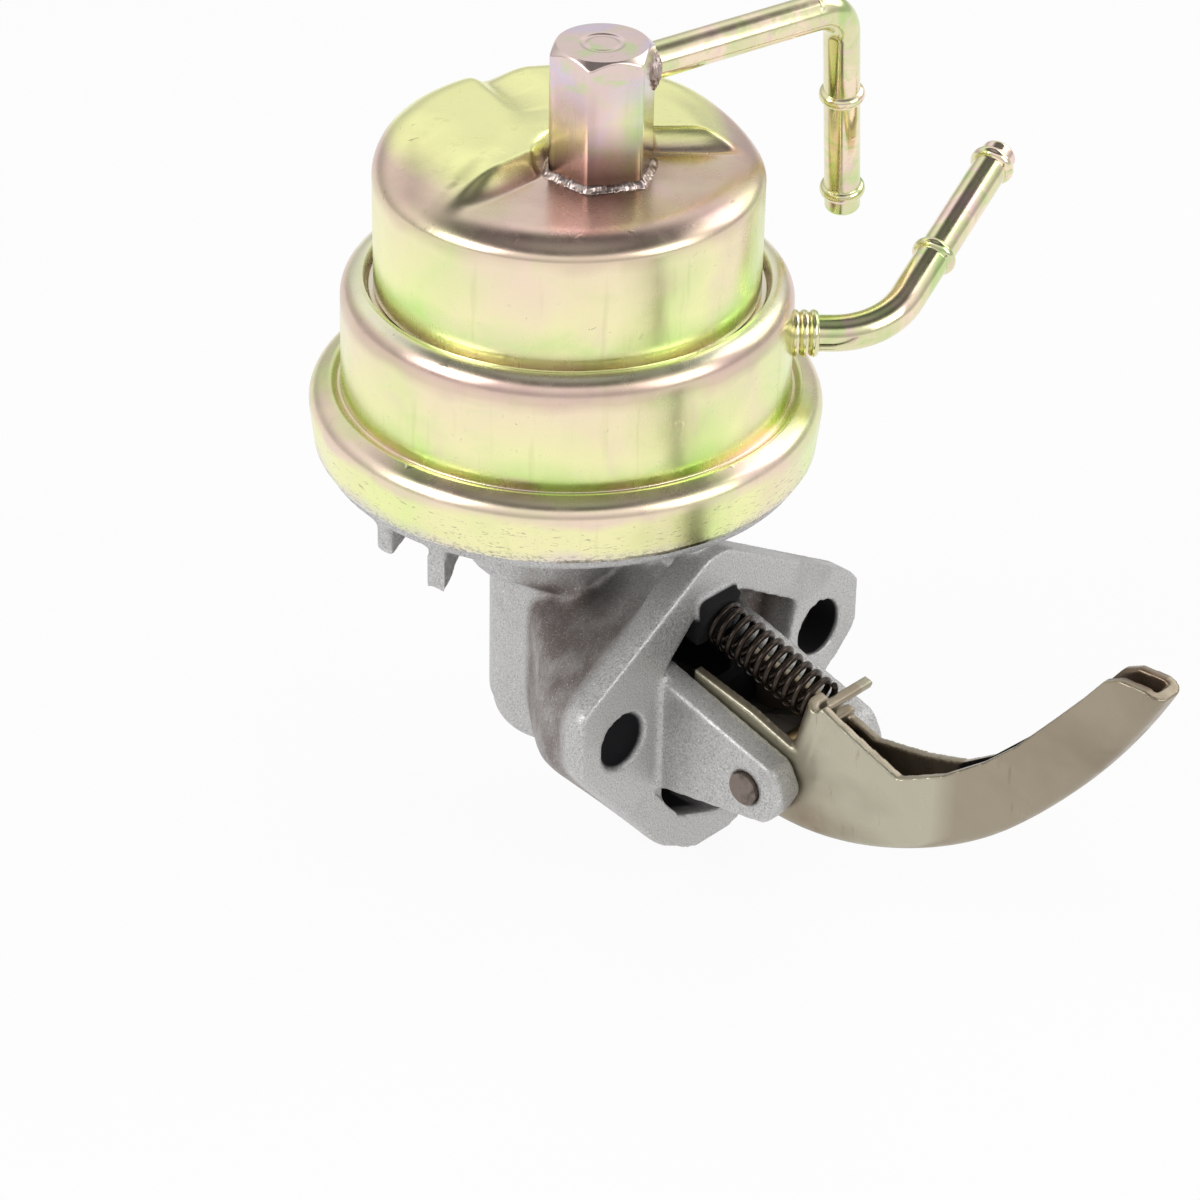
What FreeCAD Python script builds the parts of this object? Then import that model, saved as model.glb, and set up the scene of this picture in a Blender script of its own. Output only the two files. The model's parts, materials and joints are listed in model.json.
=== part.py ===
"""Mechanical fuel pump: a cast lower body with a bolt flange, stacked pressed cans,
two bent pipes, and a rocker arm that works a diaphragm through a pull lever.

Frame: the origin is midway between the two bolt holes on the flange face, +X points
out of the face along the rocker arm, +Z up along the axis of the cans. Millimetres.
"""
import FreeCAD, Part
import math
import os
import re
import Sketcher

SIZES = [
    # Where the pump stands against its flange
    ("axis_x", -33.9, "axis of the cans behind the flange face"),
    ("plane_y", -2.5, "plane of the rocker arm and of the cans"),
    ("gap", 0.1, "slack between parts that are assembled into each other"),
    # Bolt flange
    ("hole_spacing", 48.0, "distance between the bolt holes"),
    ("hole_r", 5.0, "radius of a bolt hole"),
    ("flange_t", 5.8, "thickness of the flange"),
    ("flange_top_z", 27.2, "peak of the flange outline"),
    ("flange_low_z", -30.0, "lower edge of the flange"),
    ("flange_end", 9.7, "metal outside each bolt hole's centre"),
    # Neck and tower of the casting
    ("neck_x", -31.5, "rear end of the neck"),
    ("neck_half", 12.0, "half width of the neck at its rear end"),
    ("neck_top_z", 14.5, "top of the neck at its rear end"),
    ("neck_low_z", -18.5, "underside of the neck at its rear end"),
    ("tower_r", 12.3, "radius of the tower"),
    ("tower_foot_r", 11.7, "radius of the tower's foot"),
    ("tower_step_z", -15.0, "height of the step above the foot"),
    ("tower_low_z", -21.0, "lowest point of the tower"),
    ("tower_round", 5.5, "rounding at the foot of the tower"),
    ("tower_bore_r", 9.5, "bore of the tower"),
    ("tower_bore_z", -17.0, "floor of the tower's bore"),
    ("drum_r", 16.5, "radius of the drum above the tower"),
    ("drum_low_z", 13.0, "lower edge of the drum"),
    ("drum_bore_r", 13.5, "bore of the drum"),
    ("web_low_z", 20.5, "underside of the web that guides the rod"),
    ("web_t", 3.0, "thickness of the web"),
    ("rim_r", 39.6, "radius of the casting's rim"),
    ("rim_lip_r", 40.0, "radius of the lip that the can is rolled over"),
    ("rim_low_z", 32.2, "underside of the rim"),
    ("rim_lip_z", 34.9, "underside of the lip"),
    ("clamp_z", 36.0, "face on which the diaphragm is clamped"),
    ("bowl_r", 33.0, "radius of the bowl under the diaphragm"),
    ("bowl_z", 34.4, "floor of the bowl"),
    # Window in the flange and the channel behind it
    ("window_depth", 9.0, "depth of the wide part of the window"),
    ("channel_half", 7.8, "half width of the channel for the lever"),
    ("channel_low_z", -17.0, "floor of the channel"),
    ("channel_top_z", 12.0, "roof of the channel"),
    # Ears and pivot pin
    ("pin_x", 18.3, "pivot pin in front of the flange face"),
    ("pin_z", -4.4, "height of the pivot pin"),
    ("pin_r", 2.75, "radius of the pivot pin"),
    ("pin_slack", 0.05, "running clearance on the pivot pin"),
    ("pin_proud", 0.4, "pin standing out of each ear"),
    ("ear_t", 5.3, "thickness of an ear"),
    ("ear_back_x", -20.0, "where an ear runs out in the neck"),
    ("ear_reach", 7.6, "metal in front of the pin"),
    ("side_slack", 0.3, "clearance between an ear and the rocker arm"),
    # Rocker arm, pressed from sheet
    ("arm_sheet", 1.8, "sheet of the rocker arm"),
    ("arm_half", 7.3, "half width of the arm between the ears"),
    ("arm_mid_half", 4.5, "half width of the arm at the middle"),
    ("arm_tip_half", 3.8, "half width of the arm at the tip"),
    ("arm_drop", 7.9, "underside of the arm below the pin"),
    ("arm_belly_r", 60.0, "bend of the arm's underside near the pin"),
    ("arm_belly_turn", 44.0, "angle of that bend in degrees"),
    ("arm_toe_r", 125.0, "bend of the arm's underside near the tip"),
    ("arm_toe_turn", 20.0, "angle of that bend in degrees"),
    ("arm_edge_r", 2.2, "rounding along the underside of the arm"),
    ("tab_low", 6.0, "reach of the spring tab below the spring's axis"),
    ("tab_high", 4.6, "reach of the spring tab above the spring's axis"),
    ("tab_bend_r", 3.0, "outer bend between the spring tab and the near wall"),
    ("tab_finger", 2.6, "finger of the spring tab beyond the far wall"),
    # Return spring
    ("seat_x", 1.0, "spring seat in front of the flange face"),
    ("seat_z", 13.9, "height of the spring seat"),
    ("spring_tilt", 15.3, "slope of the return spring in degrees"),
    ("spring_length", 22.8, "length of the return spring"),
    ("spring_r", 3.45, "coil radius of the return spring"),
    ("spring_wire_r", 0.55, "wire radius of the return spring"),
    ("spring_turns", 11.0, "coils of the return spring"),
    # Pull lever and its bush
    ("lever_half", 5.1, "half width of the pull lever"),
    ("lever_cheek_t", 1.9, "cheek of the pull lever"),
    ("lever_top_z", -2.3, "top of the lever's blade"),
    ("lever_low_z", -5.0, "underside of the lever's blade"),
    ("lever_hub", 5.0, "lever's metal round the pin"),
    ("fork_tail", 6.0, "fork behind the rod"),
    ("bush_r", 4.1, "outer radius of the bush"),
    # Rod, plates and diaphragm
    ("rod_r", 2.5, "radius of the pull rod"),
    ("rod_head_r", 4.6, "radius of the rod's foot"),
    ("rod_head_t", 2.5, "height of the rod's foot"),
    ("rod_slack", 0.4, "clearance between the fork and the rod"),
    ("rivet_r", 4.0, "radius of the riveted end of the rod"),
    ("rivet_t", 1.2, "height of the riveted end"),
    ("plate_t", 1.2, "sheet of the diaphragm plates"),
    ("low_plate_r", 20.0, "radius of the lower plate"),
    ("top_plate_r", 17.5, "radius of the upper plate"),
    ("plate_lip", 2.0, "turned edge of a plate"),
    ("skin_t", 1.6, "thickness of the diaphragm"),
    ("skin_rise", 6.0, "rise of the diaphragm's middle at rest"),
    ("skin_flat_r", 21.5, "flat middle of the diaphragm"),
    ("seal_r", 8.0, "radius of the oil seal"),
    ("seal_t", 3.5, "height of the oil seal"),
    ("washer_r", 12.9, "radius of the seal's washer"),
    ("washer_t", 1.0, "thickness of the seal's washer"),
    ("coil_r", 11.0, "coil radius of the diaphragm spring"),
    ("coil_wire_r", 1.0, "wire radius of the diaphragm spring"),
    ("coil_turns", 3.5, "coils of the diaphragm spring"),
    # Valve plate and valves
    ("deck_z", 46.8, "underside of the valve plate's deck"),
    ("deck_t", 2.6, "thickness of the deck"),
    ("deck_slack", 0.5, "clearance between the deck and the middle can"),
    ("deck_wall", 1.6, "wall under the deck"),
    ("deck_foot_r", 39.9, "radius of the valve plate's foot"),
    ("valve_x", 14.0, "distance of each valve from the axis"),
    ("valve_r", 7.4, "radius of a valve cage"),
    ("valve_height", 5.0, "height of a valve cage"),
    ("valve_seat_t", 1.2, "thickness of a valve seat"),
    ("valve_port_r", 3.8, "port in a valve seat"),
    ("valve_room_r", 6.2, "bore of a valve cage"),
    ("valve_lip_t", 0.6, "lip that holds the valve spring"),
    ("disc_r", 5.6, "radius of a valve disc"),
    ("disc_t", 1.1, "thickness of a valve disc"),
    ("seat_play", 0.05, "play between a valve disc and its seat"),
    ("valve_coil_r", 3.9, "coil radius of a valve spring"),
    ("valve_wire_r", 0.3, "wire radius of a valve spring"),
    ("valve_coils", 2.0, "coils of a valve spring"),
    ("tube_r", 9.4, "radius of the transfer tube"),
    ("tube_wall", 1.0, "wall of the transfer tube"),
    # Pressed cans
    ("sheet", 1.2, "sheet of the cans"),
    ("ring_play", 0.6, "play between the casting's lip and the rolled ring's sheet"),
    ("ring_top_z", 43.8, "top corner of the rolled ring"),
    ("ring_low_z", 34.3, "lower edge of the rolled ring"),
    ("ring_taper", 1.0, "how much the ring narrows downwards"),
    ("ring_corner_r", 1.5, "rounding of the ring's top corner"),
    ("mid_r", 36.4, "radius of the middle can"),
    ("mid_foot_z", 45.5, "foot of the middle can's wall"),
    ("mid_foot_round", 1.2, "hollow rounding at that foot"),
    ("mid_top_z", 64.2, "top of the middle can"),
    ("mid_corner_r", 3.5, "rounding of the middle can's shoulder"),
    ("groove_r", 32.3, "edge of the groove round the top can"),
    ("groove_drop", 0.6, "depth of that groove"),
    ("top_r", 31.15, "radius of the top can"),
    ("top_z", 88.2, "top of the top can"),
    ("top_corner_r", 5.2, "rounding of the top can's shoulder"),
    ("recess_depth", 3.4, "depth of the pressed recess in the top"),
    ("recess_x", 2.5, "straight side of the recess from the axis"),
    ("recess_slant", 1.8, "offset of the slanting side of the recess"),
    ("recess_slope", 3.0, "run of the recess's sloping sides"),
    ("recess_ring_r", 9.9, "round of the recess behind the hexagon"),
    ("valley_r", 3.2, "round of the shallow valley in the top"),
    ("valley_depth", 1.2, "depth of the valley at the edge"),
    # Hexagon and pipes
    ("hex_x", 6.7, "hexagon in front of the axis"),
    ("hex_flats", 15.0, "hexagon across flats"),
    ("hex_top_z", 106.2, "top of the hexagon"),
    ("hex_bevel", 2.0, "height of the bevel on the hexagon"),
    ("hex_face_r", 7.3, "round face on top of the hexagon"),
    ("hex_bore_r", 3.6, "bore of the hexagon"),
    ("hex_cap_t", 3.0, "metal above the outlet in the hexagon"),
    ("braze_r", 9.7, "radius of the braze round the hexagon"),
    ("braze_height", 2.3, "height of that braze"),
    ("pipe_r", 3.0, "outer radius of the pipes"),
    ("pipe_wall", 0.9, "wall of the pipes"),
    ("bead_r", 0.8, "round of a hose bead"),
    ("weld_r", 4.7, "radius of the weld where the outlet leaves"),
    ("weld_reach", 2.4, "length of that weld"),
    ("outlet_z", 100.6, "height of the outlet pipe"),
    ("outlet_heading", 79.5, "heading of the outlet pipe in degrees"),
    ("outlet_reach", 47.5, "hexagon to the corner of the outlet pipe"),
    ("outlet_bend_r", 6.5, "bend of the outlet pipe"),
    ("outlet_leg", 41.8, "corner to the end of the outlet pipe"),
    ("outlet_leg_heading", 119.0, "side to which the outlet's leg leans"),
    ("outlet_leg_lean", 14.0, "lean of the outlet's leg in degrees"),
    ("outlet_bead", 18.1, "corner to the first bead of the outlet"),
    ("outlet_end_bead", 38.0, "corner to the end bead of the outlet"),
    ("inlet_z", 53.4, "height of the inlet pipe"),
    ("inlet_heading", 44.0, "heading of the inlet pipe in degrees"),
    ("inlet_reach", 51.2, "axis to the corner of the inlet pipe"),
    ("inlet_bend_r", 14.0, "bend of the inlet pipe"),
    ("inlet_leg", 45.4, "corner to the end of the inlet pipe"),
    ("inlet_leg_heading", 104.6, "heading of the inlet's leg in degrees"),
    ("inlet_leg_rise", 18.0, "rise of the inlet's leg in degrees"),
    ("inlet_bead", 19.1, "corner to the first bead of the inlet"),
    ("inlet_end_bead", 42.3, "corner to the end bead of the inlet"),
    ("collar_r", 3.75, "radius of the inlet collar's rings"),
    ("collar_waist_r", 3.45, "radius between the collar's rings"),
    ("collar_reach", 4.1, "length of the inlet collar"),
]
ALIASES = {alias for alias, value, note in SIZES}
Vec = FreeCAD.Vector
X_AXIS, Y_AXIS, Z_AXIS = Vec(1, 0, 0), Vec(0, 1, 0), Vec(0, 0, 1)

doc = FreeCAD.newDocument("FuelPump")
sheet = doc.addObject("Spreadsheet::Sheet", "Sizes")
for row, (alias, value, note) in enumerate(SIZES, start=1):
    sheet.set(f"A{row}", note)
    sheet.set(f"B{row}", str(value))
    sheet.setAlias(f"B{row}", alias)
doc.recompute()


class Named:
    """Reads a size from the sheet by its alias."""

    def __getattr__(self, alias):
        return float(sheet.get(alias))


size = Named()
NODES = []


# Shared helpers

def bound(text):
    """Turn bare aliases in an expression into references to the sheet."""
    return re.sub(r"[a-z][a-z_]+", lambda m: f"Sizes.{m[0]}" if m[0] in ALIASES else m[0], str(text))


def number(text):
    """Work out an expression of aliases with the sheet's present values."""
    return float(sheet.evalExpression(bound(text)))


def bind(thing, **properties):
    """Bind properties of an object to expressions; a double underscore stands for a dot."""
    for name, text in properties.items():
        thing.setExpression(name.replace("__", "."), bound(text))


def keep(thing, label):
    """Give an object the plain name under which it is written."""
    thing.Label = label
    NODES.append(thing)
    return thing


def origin_plane(body, role):
    """Find one of a body's own origin planes."""
    return next(item for item in body.Origin.OriginFeatures if item.Role == role)


def outline(body, name, role, points, offset=None):
    """Draw a closed outline whose corners are bound to the sheet."""
    sketch = body.newObject("Sketcher::SketchObject", name)
    sketch.AttachmentSupport = [(origin_plane(body, role), "")]
    sketch.MapMode = "FlatFace"
    if offset is not None:
        sketch.setExpression("AttachmentOffset.Base.z", bound(offset))
    count = len(points)
    turn = 2 * math.pi / count
    ring = [Vec(50 * math.cos(turn * i), 50 * math.sin(turn * i), 0) for i in range(count)]
    for i in range(count):
        sketch.addGeometry(Part.LineSegment(ring[i], ring[(i + 1) % count]))
    for i in range(count):
        sketch.addConstraint(Sketcher.Constraint("Coincident", i, 2, (i + 1) % count, 1))
    for i, corner in enumerate(points):
        for kind, text, start in zip(("DistanceX", "DistanceY"), corner, ring[i]):
            index = sketch.addConstraint(Sketcher.Constraint(kind, -1, 1, i, 1, start))
            sketch.setExpression(f"Constraints[{index}]", bound(text))
    return sketch


def new_body(name):
    """Start a body of its own."""
    return doc.addObject("PartDesign::Body", name)


def at_axis(thing, x="axis_x", y="plane_y", z="0"):
    """Move an object to the axis of the cans."""
    bind(thing, Placement__Base__x=x, Placement__Base__y=y, Placement__Base__z=z)
    return thing


def revolved(name, points, rounds=()):
    """Turn a half profile of radius and height about the body's own upright axis."""
    body = new_body(name)
    sketch = outline(body, name + "_profile", "XZ_Plane", points)
    turned = body.newObject("PartDesign::Revolution", name + "_turned")
    turned.Profile = sketch
    turned.ReferenceAxis = (sketch, ["V_Axis"])
    turned.Angle = 360
    doc.recompute()
    for count, (radius, corners) in enumerate(rounds):
        base = body.Tip
        wanted = [(number(r), number(z)) for r, z in corners]
        fillet = body.newObject("PartDesign::Fillet", f"{name}_round{count}")
        fillet.Base = (base,
                       [f"Edge{i}" for i, edge in enumerate(base.Shape.Edges, 1) if is_ring(edge, wanted)])
        bind(fillet, Radius=radius)
        doc.recompute()
    return body


def is_ring(edge, wanted):
    """Tell whether an edge is a circle at one of the wanted radii and heights."""
    box = edge.BoundBox
    return box.ZLength < 0.01 and any(
        abs(box.XMax - r) < 0.02 and abs(box.ZMin - z) < 0.02 for r, z in wanted)


def padded(name, role, points, length, offset=None, rounds=(), reverse=False, middle=False):
    """Pad an outline off one of the origin planes and round its upright corners."""
    body = new_body(name)
    sketch = outline(body, name + "_outline", role, points, offset)
    pad = body.newObject("PartDesign::Pad", name + "_pad")
    pad.Profile = sketch
    pad.Reversed = reverse
    pad.Midplane = middle
    bind(pad, Length=length)
    doc.recompute()
    across = {"XY_Plane": (0, 1), "XZ_Plane": (0, 2), "YZ_Plane": (1, 2)}[role]
    for count, (radius, corners) in enumerate(rounds):
        base = body.Tip
        wanted = [(number(a), number(b)) for a, b in corners]
        fillet = body.newObject("PartDesign::Fillet", f"{name}_round{count}")
        fillet.Base = (base, [f"Edge{i}" for i, edge in enumerate(base.Shape.Edges, 1)
                              if is_post(edge, across, wanted)])
        bind(fillet, Radius=radius)
        doc.recompute()
    return body


def is_post(edge, across, wanted):
    """Tell whether an edge runs along the pad through one of the wanted corners."""
    first, last = edge.Vertexes[0].Point, edge.Vertexes[-1].Point
    flat = all(abs(first[i] - last[i]) < 0.01 for i in across) and len(edge.Vertexes) == 2
    return flat and any(all(abs(first[i] - c) < 0.02 for i, c in zip(across, corner)) for corner in wanted)


def cylinder(name, radius, height, x="0", y="0", z="0", turn=None):
    """Place a cylinder whose size and place are bound to the sheet."""
    solid = doc.addObject("Part::Cylinder", name)
    bind(solid, Radius=radius, Height=height)
    if turn is not None:
        solid.Placement = FreeCAD.Placement(Vec(0, 0, 0), turn)
    return at_axis(solid, x, y, z)


def fused(name, parts):
    """Join solids into one."""
    joined = doc.addObject("Part::MultiFuse", name)
    joined.Shapes = parts
    joined.Refine = True
    doc.recompute()
    return joined


def cut(name, base, tool):
    """Take one solid out of another."""
    result = doc.addObject("Part::Cut", name)
    result.Base = base
    result.Tool = tool
    result.Refine = True
    doc.recompute()
    return result


def solid_feature(name, shape, place=None):
    """Hold a shape made by Part's own functions in the document."""
    feature = doc.addObject("Part::Feature", name)
    feature.Shape = shape
    if place is not None:
        feature.Placement = place
    return feature


def heading(azimuth, rise=0.0):
    """Unit direction from a compass angle and a rise, both in degrees."""
    a, e = math.radians(azimuth), math.radians(rise)
    return Vec(math.cos(a) * math.cos(e), math.sin(a) * math.cos(e), math.sin(e))


def facing(direction):
    """Placement rotation that turns +Z to a direction."""
    return FreeCAD.Rotation(Z_AXIS, direction)


def coil(name, length, radius, wire_r, turns, steps=8):
    """Wind a spring along +Z from the origin as short straight runs of six-sided wire."""
    runs = int(round(turns * steps))
    rise = (length - 2 * wire_r) / runs
    points = []
    for i in range(runs + 1):
        angle = 2 * math.pi * i / steps
        points.append(Vec(radius * math.cos(angle), radius * math.sin(angle), wire_r + rise * i))
    start = FreeCAD.Placement(points[0], facing(points[1] - points[0]))
    corners = [start.multVec(heading(60 * k) * wire_r) for k in range(6)]
    shell = Part.BRepOffsetAPI.MakePipeShell(Part.makePolygon(points))
    shell.setTransitionMode(1)
    shell.add(Part.makePolygon(corners + corners[:1]))
    shell.build()
    shell.makeSolid()
    return solid_feature(name, shell.shape())


# Cast lower body

def make_casting():
    """Casting with bowl, drum, tower, neck, flange, ears and spring seat."""
    turned = at_axis(revolved("casting_turned", [
        ("0", "tower_low_z"), ("tower_foot_r", "tower_low_z"), ("tower_foot_r", "tower_step_z"),
        ("tower_r", "tower_step_z + 0.6"), ("tower_r", "drum_low_z"), ("drum_r", "drum_low_z"),
        ("drum_r", "rim_low_z"), ("rim_r", "rim_low_z"), ("rim_r", "rim_lip_z"),
        ("rim_lip_r", "rim_lip_z"), ("rim_lip_r", "clamp_z"), ("0", "clamp_z")],
        [("tower_round", [("tower_foot_r", "tower_low_z")]),
         ("1.5", [("drum_r", "rim_low_z"), ("drum_r", "drum_low_z"), ("tower_r", "drum_low_z")]),
         ("0.8", [("rim_r", "rim_low_z")])]))
    half = "hole_spacing / 2"
    left, right = f"-{half} - flange_end - 0.2", f"{half} + flange_end"
    corners = [(left, "8.2"), ("-2.1", "flange_top_z"), (right, "6.4"), (right, "-3.4"),
               ("4.2", "flange_low_z"), ("-6", "flange_low_z"), ("-14", "flange_low_z + 4.4"), (left, "-2.5")]
    flange = padded("casting_flange", "YZ_Plane", corners, "flange_t", rounds=[
        ("3.5", [corners[0], corners[2], corners[3], corners[7]]), ("8", [corners[1]]),
        ("6", [corners[4], corners[5], corners[6]])], reverse=True)
    neck = new_body("casting_neck")
    front = outline(neck, "neck_front", "YZ_Plane", [
        (f"{left} + 3", "7"), ("-2.1", "flange_top_z - 3"), (f"{right} - 3", "5"), (f"{right} - 3", "-3"),
        ("3.6", "flange_low_z + 2"), ("-5.4", "flange_low_z + 2"), ("-13", "flange_low_z + 6"),
        (f"{left} + 3", "-2")], "-flange_t + 0.5")
    rear = outline(neck, "neck_rear", "YZ_Plane", [
        ("plane_y - neck_half", "neck_top_z - 5"), ("plane_y", "neck_top_z"),
        ("plane_y + neck_half", "neck_top_z - 5"), ("plane_y + neck_half", "neck_low_z + 9"),
        ("plane_y + 5", "neck_low_z"), ("plane_y - 5", "neck_low_z"), ("plane_y - 9", "neck_low_z + 3"),
        ("plane_y - neck_half", "neck_low_z + 9")], "neck_x")
    loft = neck.newObject("PartDesign::AdditiveLoft", "neck_loft")
    loft.Profile = front
    loft.Sections = [rear]
    loft.Ruled = True
    doc.recompute()
    web = padded("casting_web", "XZ_Plane", [
        ("axis_x + 12", "drum_low_z"), ("-flange_t / 2 - 1", "drum_low_z"),
        ("-flange_t / 2 - 1", "flange_top_z - 2"),
        ("2", "rim_low_z + 0.5"), ("axis_x + 12", "rim_low_z + 0.5")], "6", middle=True)
    bind(web, Placement__Base__y="plane_y")
    outer = [turned, flange, neck, web] + [rim_hook(i, *spot) for i,
                                           spot in enumerate(((-94.5, 5.2), (-77.9, 7.4)))]
    window = padded("casting_window", "YZ_Plane", [
        ("-15.4", "7.5"), ("-7", "16.3"), ("4", "16.3"), ("17.8", "8"), ("15.5", "-2"), ("16", "-13"),
        ("9", "-21.5"), ("0", "-25.3"), ("-9.7", "-21.4"), ("-16.3", "-13.5"), ("-14.5", "0")],
        "window_depth + 1", offset="1", reverse=True)
    channel = doc.addObject("Part::Box", "casting_channel")
    bind(channel, Length="-axis_x", Width="2 * channel_half", Height="channel_top_z - channel_low_z",
         Placement__Base__x="axis_x", Placement__Base__y="plane_y - channel_half",
         Placement__Base__z="channel_low_z")
    tower_bore = cylinder("casting_bore", "tower_bore_r", "web_low_z - tower_bore_z",
                          "axis_x", "plane_y", "tower_bore_z")
    bowl = at_axis(revolved("casting_bowl", [
        ("0", "web_low_z - 1"), ("rod_r + 0.9", "web_low_z - 1"), ("rod_r + 0.9", "web_low_z + web_t"),
        ("seal_r + gap", "web_low_z + web_t"), ("seal_r + gap", "web_low_z + web_t + seal_t"),
        ("drum_bore_r", "web_low_z + web_t + seal_t"), ("drum_bore_r", "bowl_z - 1"), ("bowl_r", "bowl_z"),
        ("bowl_r", "clamp_z + 1"), ("0", "clamp_z + 1")]))
    along_x = FreeCAD.Rotation(Y_AXIS, 90)
    bolts = [cylinder(f"casting_bolt{i}", "hole_r", "flange_t + 30", "-flange_t - 15", f"{sign}{half}", "0",
                      along_x)
             for i, sign in enumerate(("-", ""))]
    hollow = cut("casting_hollow", fused("casting_outer", outer),
                 fused("casting_inner", [window, channel, tower_bore, bowl] + bolts))
    ears = [make_ear("casting_near_ear", "plane_y - arm_half - side_slack - ear_t / 2"),
            make_ear("casting_far_ear", "plane_y + arm_half + side_slack + ear_t / 2")]
    seat = doc.addObject("Part::Box", "casting_seat")
    seat.Placement = FreeCAD.Placement(Vec(0, 0, 0), FreeCAD.Rotation(Y_AXIS, size.spring_tilt))
    bind(seat, Length="window_depth + 3", Width="8.6", Height="8.6")
    bind(seat, Placement__Base__x="seat_x - (window_depth + 3) * cos(spring_tilt * 1deg)"
                                  " - 4.3 * sin(spring_tilt * 1deg)",
         Placement__Base__y="plane_y - 4.3",
         Placement__Base__z="seat_z + (window_depth + 3) * sin(spring_tilt * 1deg)"
                            " - 4.3 * cos(spring_tilt * 1deg)")
    eared = fused("casting_eared", [hollow, seat] + ears)
    bore = cylinder("casting_pin_bore", "pin_r + 0.02", "60", "pin_x", "plane_y + 30", "pin_z",
                    FreeCAD.Rotation(X_AXIS, 90))
    return keep(cut("lower_body", eared, bore), "lower_body")


def rim_hook(index, azimuth, drop):
    """Short rib that hangs under the rim, upright outside and sloping inside."""
    rib = padded(f"casting_hook{index}", "XZ_Plane", [
        ("rim_r - 9", "rim_low_z + 0.5"), ("rim_r - 1.8", f"rim_low_z - {drop}"),
        ("rim_r - 0.6", f"rim_low_z - {drop}"), ("rim_r - 0.6", "rim_low_z + 0.5")], "3.2", middle=True)
    rib.Placement = FreeCAD.Placement(Vec(0, 0, 0), FreeCAD.Rotation(Z_AXIS, azimuth))
    return at_axis(rib)


def make_ear(name, middle_y):
    """Ear that carries the pivot pin."""
    corners = [("ear_back_x", "13.6"), ("pin_x + 5.3", "1.2"), ("pin_x + ear_reach + 0.3", "pin_z + 1"),
               ("pin_x + 4.7", "-9.4"), ("ear_back_x", "-16.6")]
    ear = padded(name, "XZ_Plane", corners, "ear_t", rounds=[("3", corners[1:4])], middle=True)
    bind(ear, Placement__Base__y=middle_y)
    return ear


# Pressed cans

def make_main_can():
    """Middle can whose lower edge is rolled over the rim of the casting."""
    ring_r = "(rim_lip_r + gap + sheet + ring_play)"
    can = at_axis(revolved("main_can_pressed", [
        ("0", "mid_top_z - groove_drop"), ("groove_r", "mid_top_z - groove_drop"), ("groove_r", "mid_top_z"),
        ("mid_r", "mid_top_z"), ("mid_r", "mid_foot_z"), (ring_r, "ring_top_z"),
        (f"{ring_r} - ring_taper", "ring_low_z + 0.6"), (f"{ring_r} - ring_taper - 0.5", "ring_low_z"),
        ("rim_r + gap + 0.05", "ring_low_z"), ("rim_r + gap + 0.05", "rim_lip_z - gap"),
        ("rim_lip_r + gap", "rim_lip_z - gap"), (f"{ring_r} - sheet - gap", "ring_top_z - 0.9"),
        ("mid_r - sheet", "mid_foot_z - 0.9"), ("mid_r - sheet", "mid_top_z - sheet"),
        ("groove_r - 0.8", "mid_top_z - sheet"), ("groove_r - 0.8", "mid_top_z - groove_drop - sheet"),
        ("0", "mid_top_z - groove_drop - sheet")],
        [("mid_corner_r", [("mid_r", "mid_top_z")]), ("mid_corner_r - sheet",
                                                      [("mid_r - sheet", "mid_top_z - sheet")]),
         ("mid_foot_round", [("mid_r", "mid_foot_z")]), ("ring_corner_r", [(ring_r, "ring_top_z")])]))
    port = cylinder("main_can_port", "pipe_r + gap", "mid_r", "axis_x", "plane_y", "inlet_z",
                    facing(heading(size.inlet_heading)))
    transfer = cylinder("main_can_transfer", "tube_r - tube_wall", "20", "axis_x + valve_x", "plane_y",
                        "mid_top_z - 10")
    return keep(cut("main_can", can, fused("main_can_holes", [port, transfer])), "main_can")


def recess_tool(name, grow, base_z, high_z):
    """Wedge that presses the recess into the top: one straight and one slanting side."""
    body = new_body(name)
    low = [(f"recess_x - {grow}", "-50"), (f"recess_x - {grow}", f"recess_x + recess_slant + {grow} * 0.4"),
           (f"30 - {grow}", f"30 + recess_slant + {grow} * 0.4"), ("60", f"30 + recess_slant + {grow} * 0.4"),
           ("60", "-50")]
    high = [(f"recess_x - recess_slope - {grow}", "-50"),
            (f"recess_x - recess_slope - {grow}", f"recess_x + recess_slant + {grow} * 0.4"),
            (f"30 - recess_slope - {grow}", f"30 + recess_slant + {grow} * 0.4"),
            ("60", f"30 + recess_slant + {grow} * 0.4"), ("60", "-50")]
    bottom = outline(body, name + "_low", "XY_Plane", low, base_z)
    top = outline(body, name + "_high", "XY_Plane", high, high_z)
    loft = body.newObject("PartDesign::AdditiveLoft", name + "_loft")
    loft.Profile = bottom
    loft.Sections = [top]
    loft.Ruled = True
    doc.recompute()
    at_axis(body)
    ring = doc.addObject("Part::Cone", name + "_ring")
    bind(ring, Radius1=f"recess_ring_r + {grow}", Radius2=f"recess_ring_r + {grow} + recess_slope",
         Height=f"{high_z} - ({base_z})")
    at_axis(ring, "axis_x + hex_x", "plane_y", base_z)
    return fused(name + "_both", [body, ring])


def valley_tool(name, grow):
    """Rod that presses the shallow valley into the top, deepest at the edge."""
    start, end = Vec(-9.0, 3.0, 0), Vec(-32.0, 11.5, 0)
    dip = Vec(0, 0, -size.valley_depth - 0.3)
    rod = doc.addObject("Part::Cylinder", name)
    rod.Placement = FreeCAD.Placement(Vec(0, 0, 0), facing(end - start + dip))
    bind(rod, Radius=f"valley_r + {grow}", Height=str((end - start + dip).Length))
    return at_axis(rod, f"axis_x + {start.x}", f"plane_y + {start.y}", "top_z + valley_r + 0.25")


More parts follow.
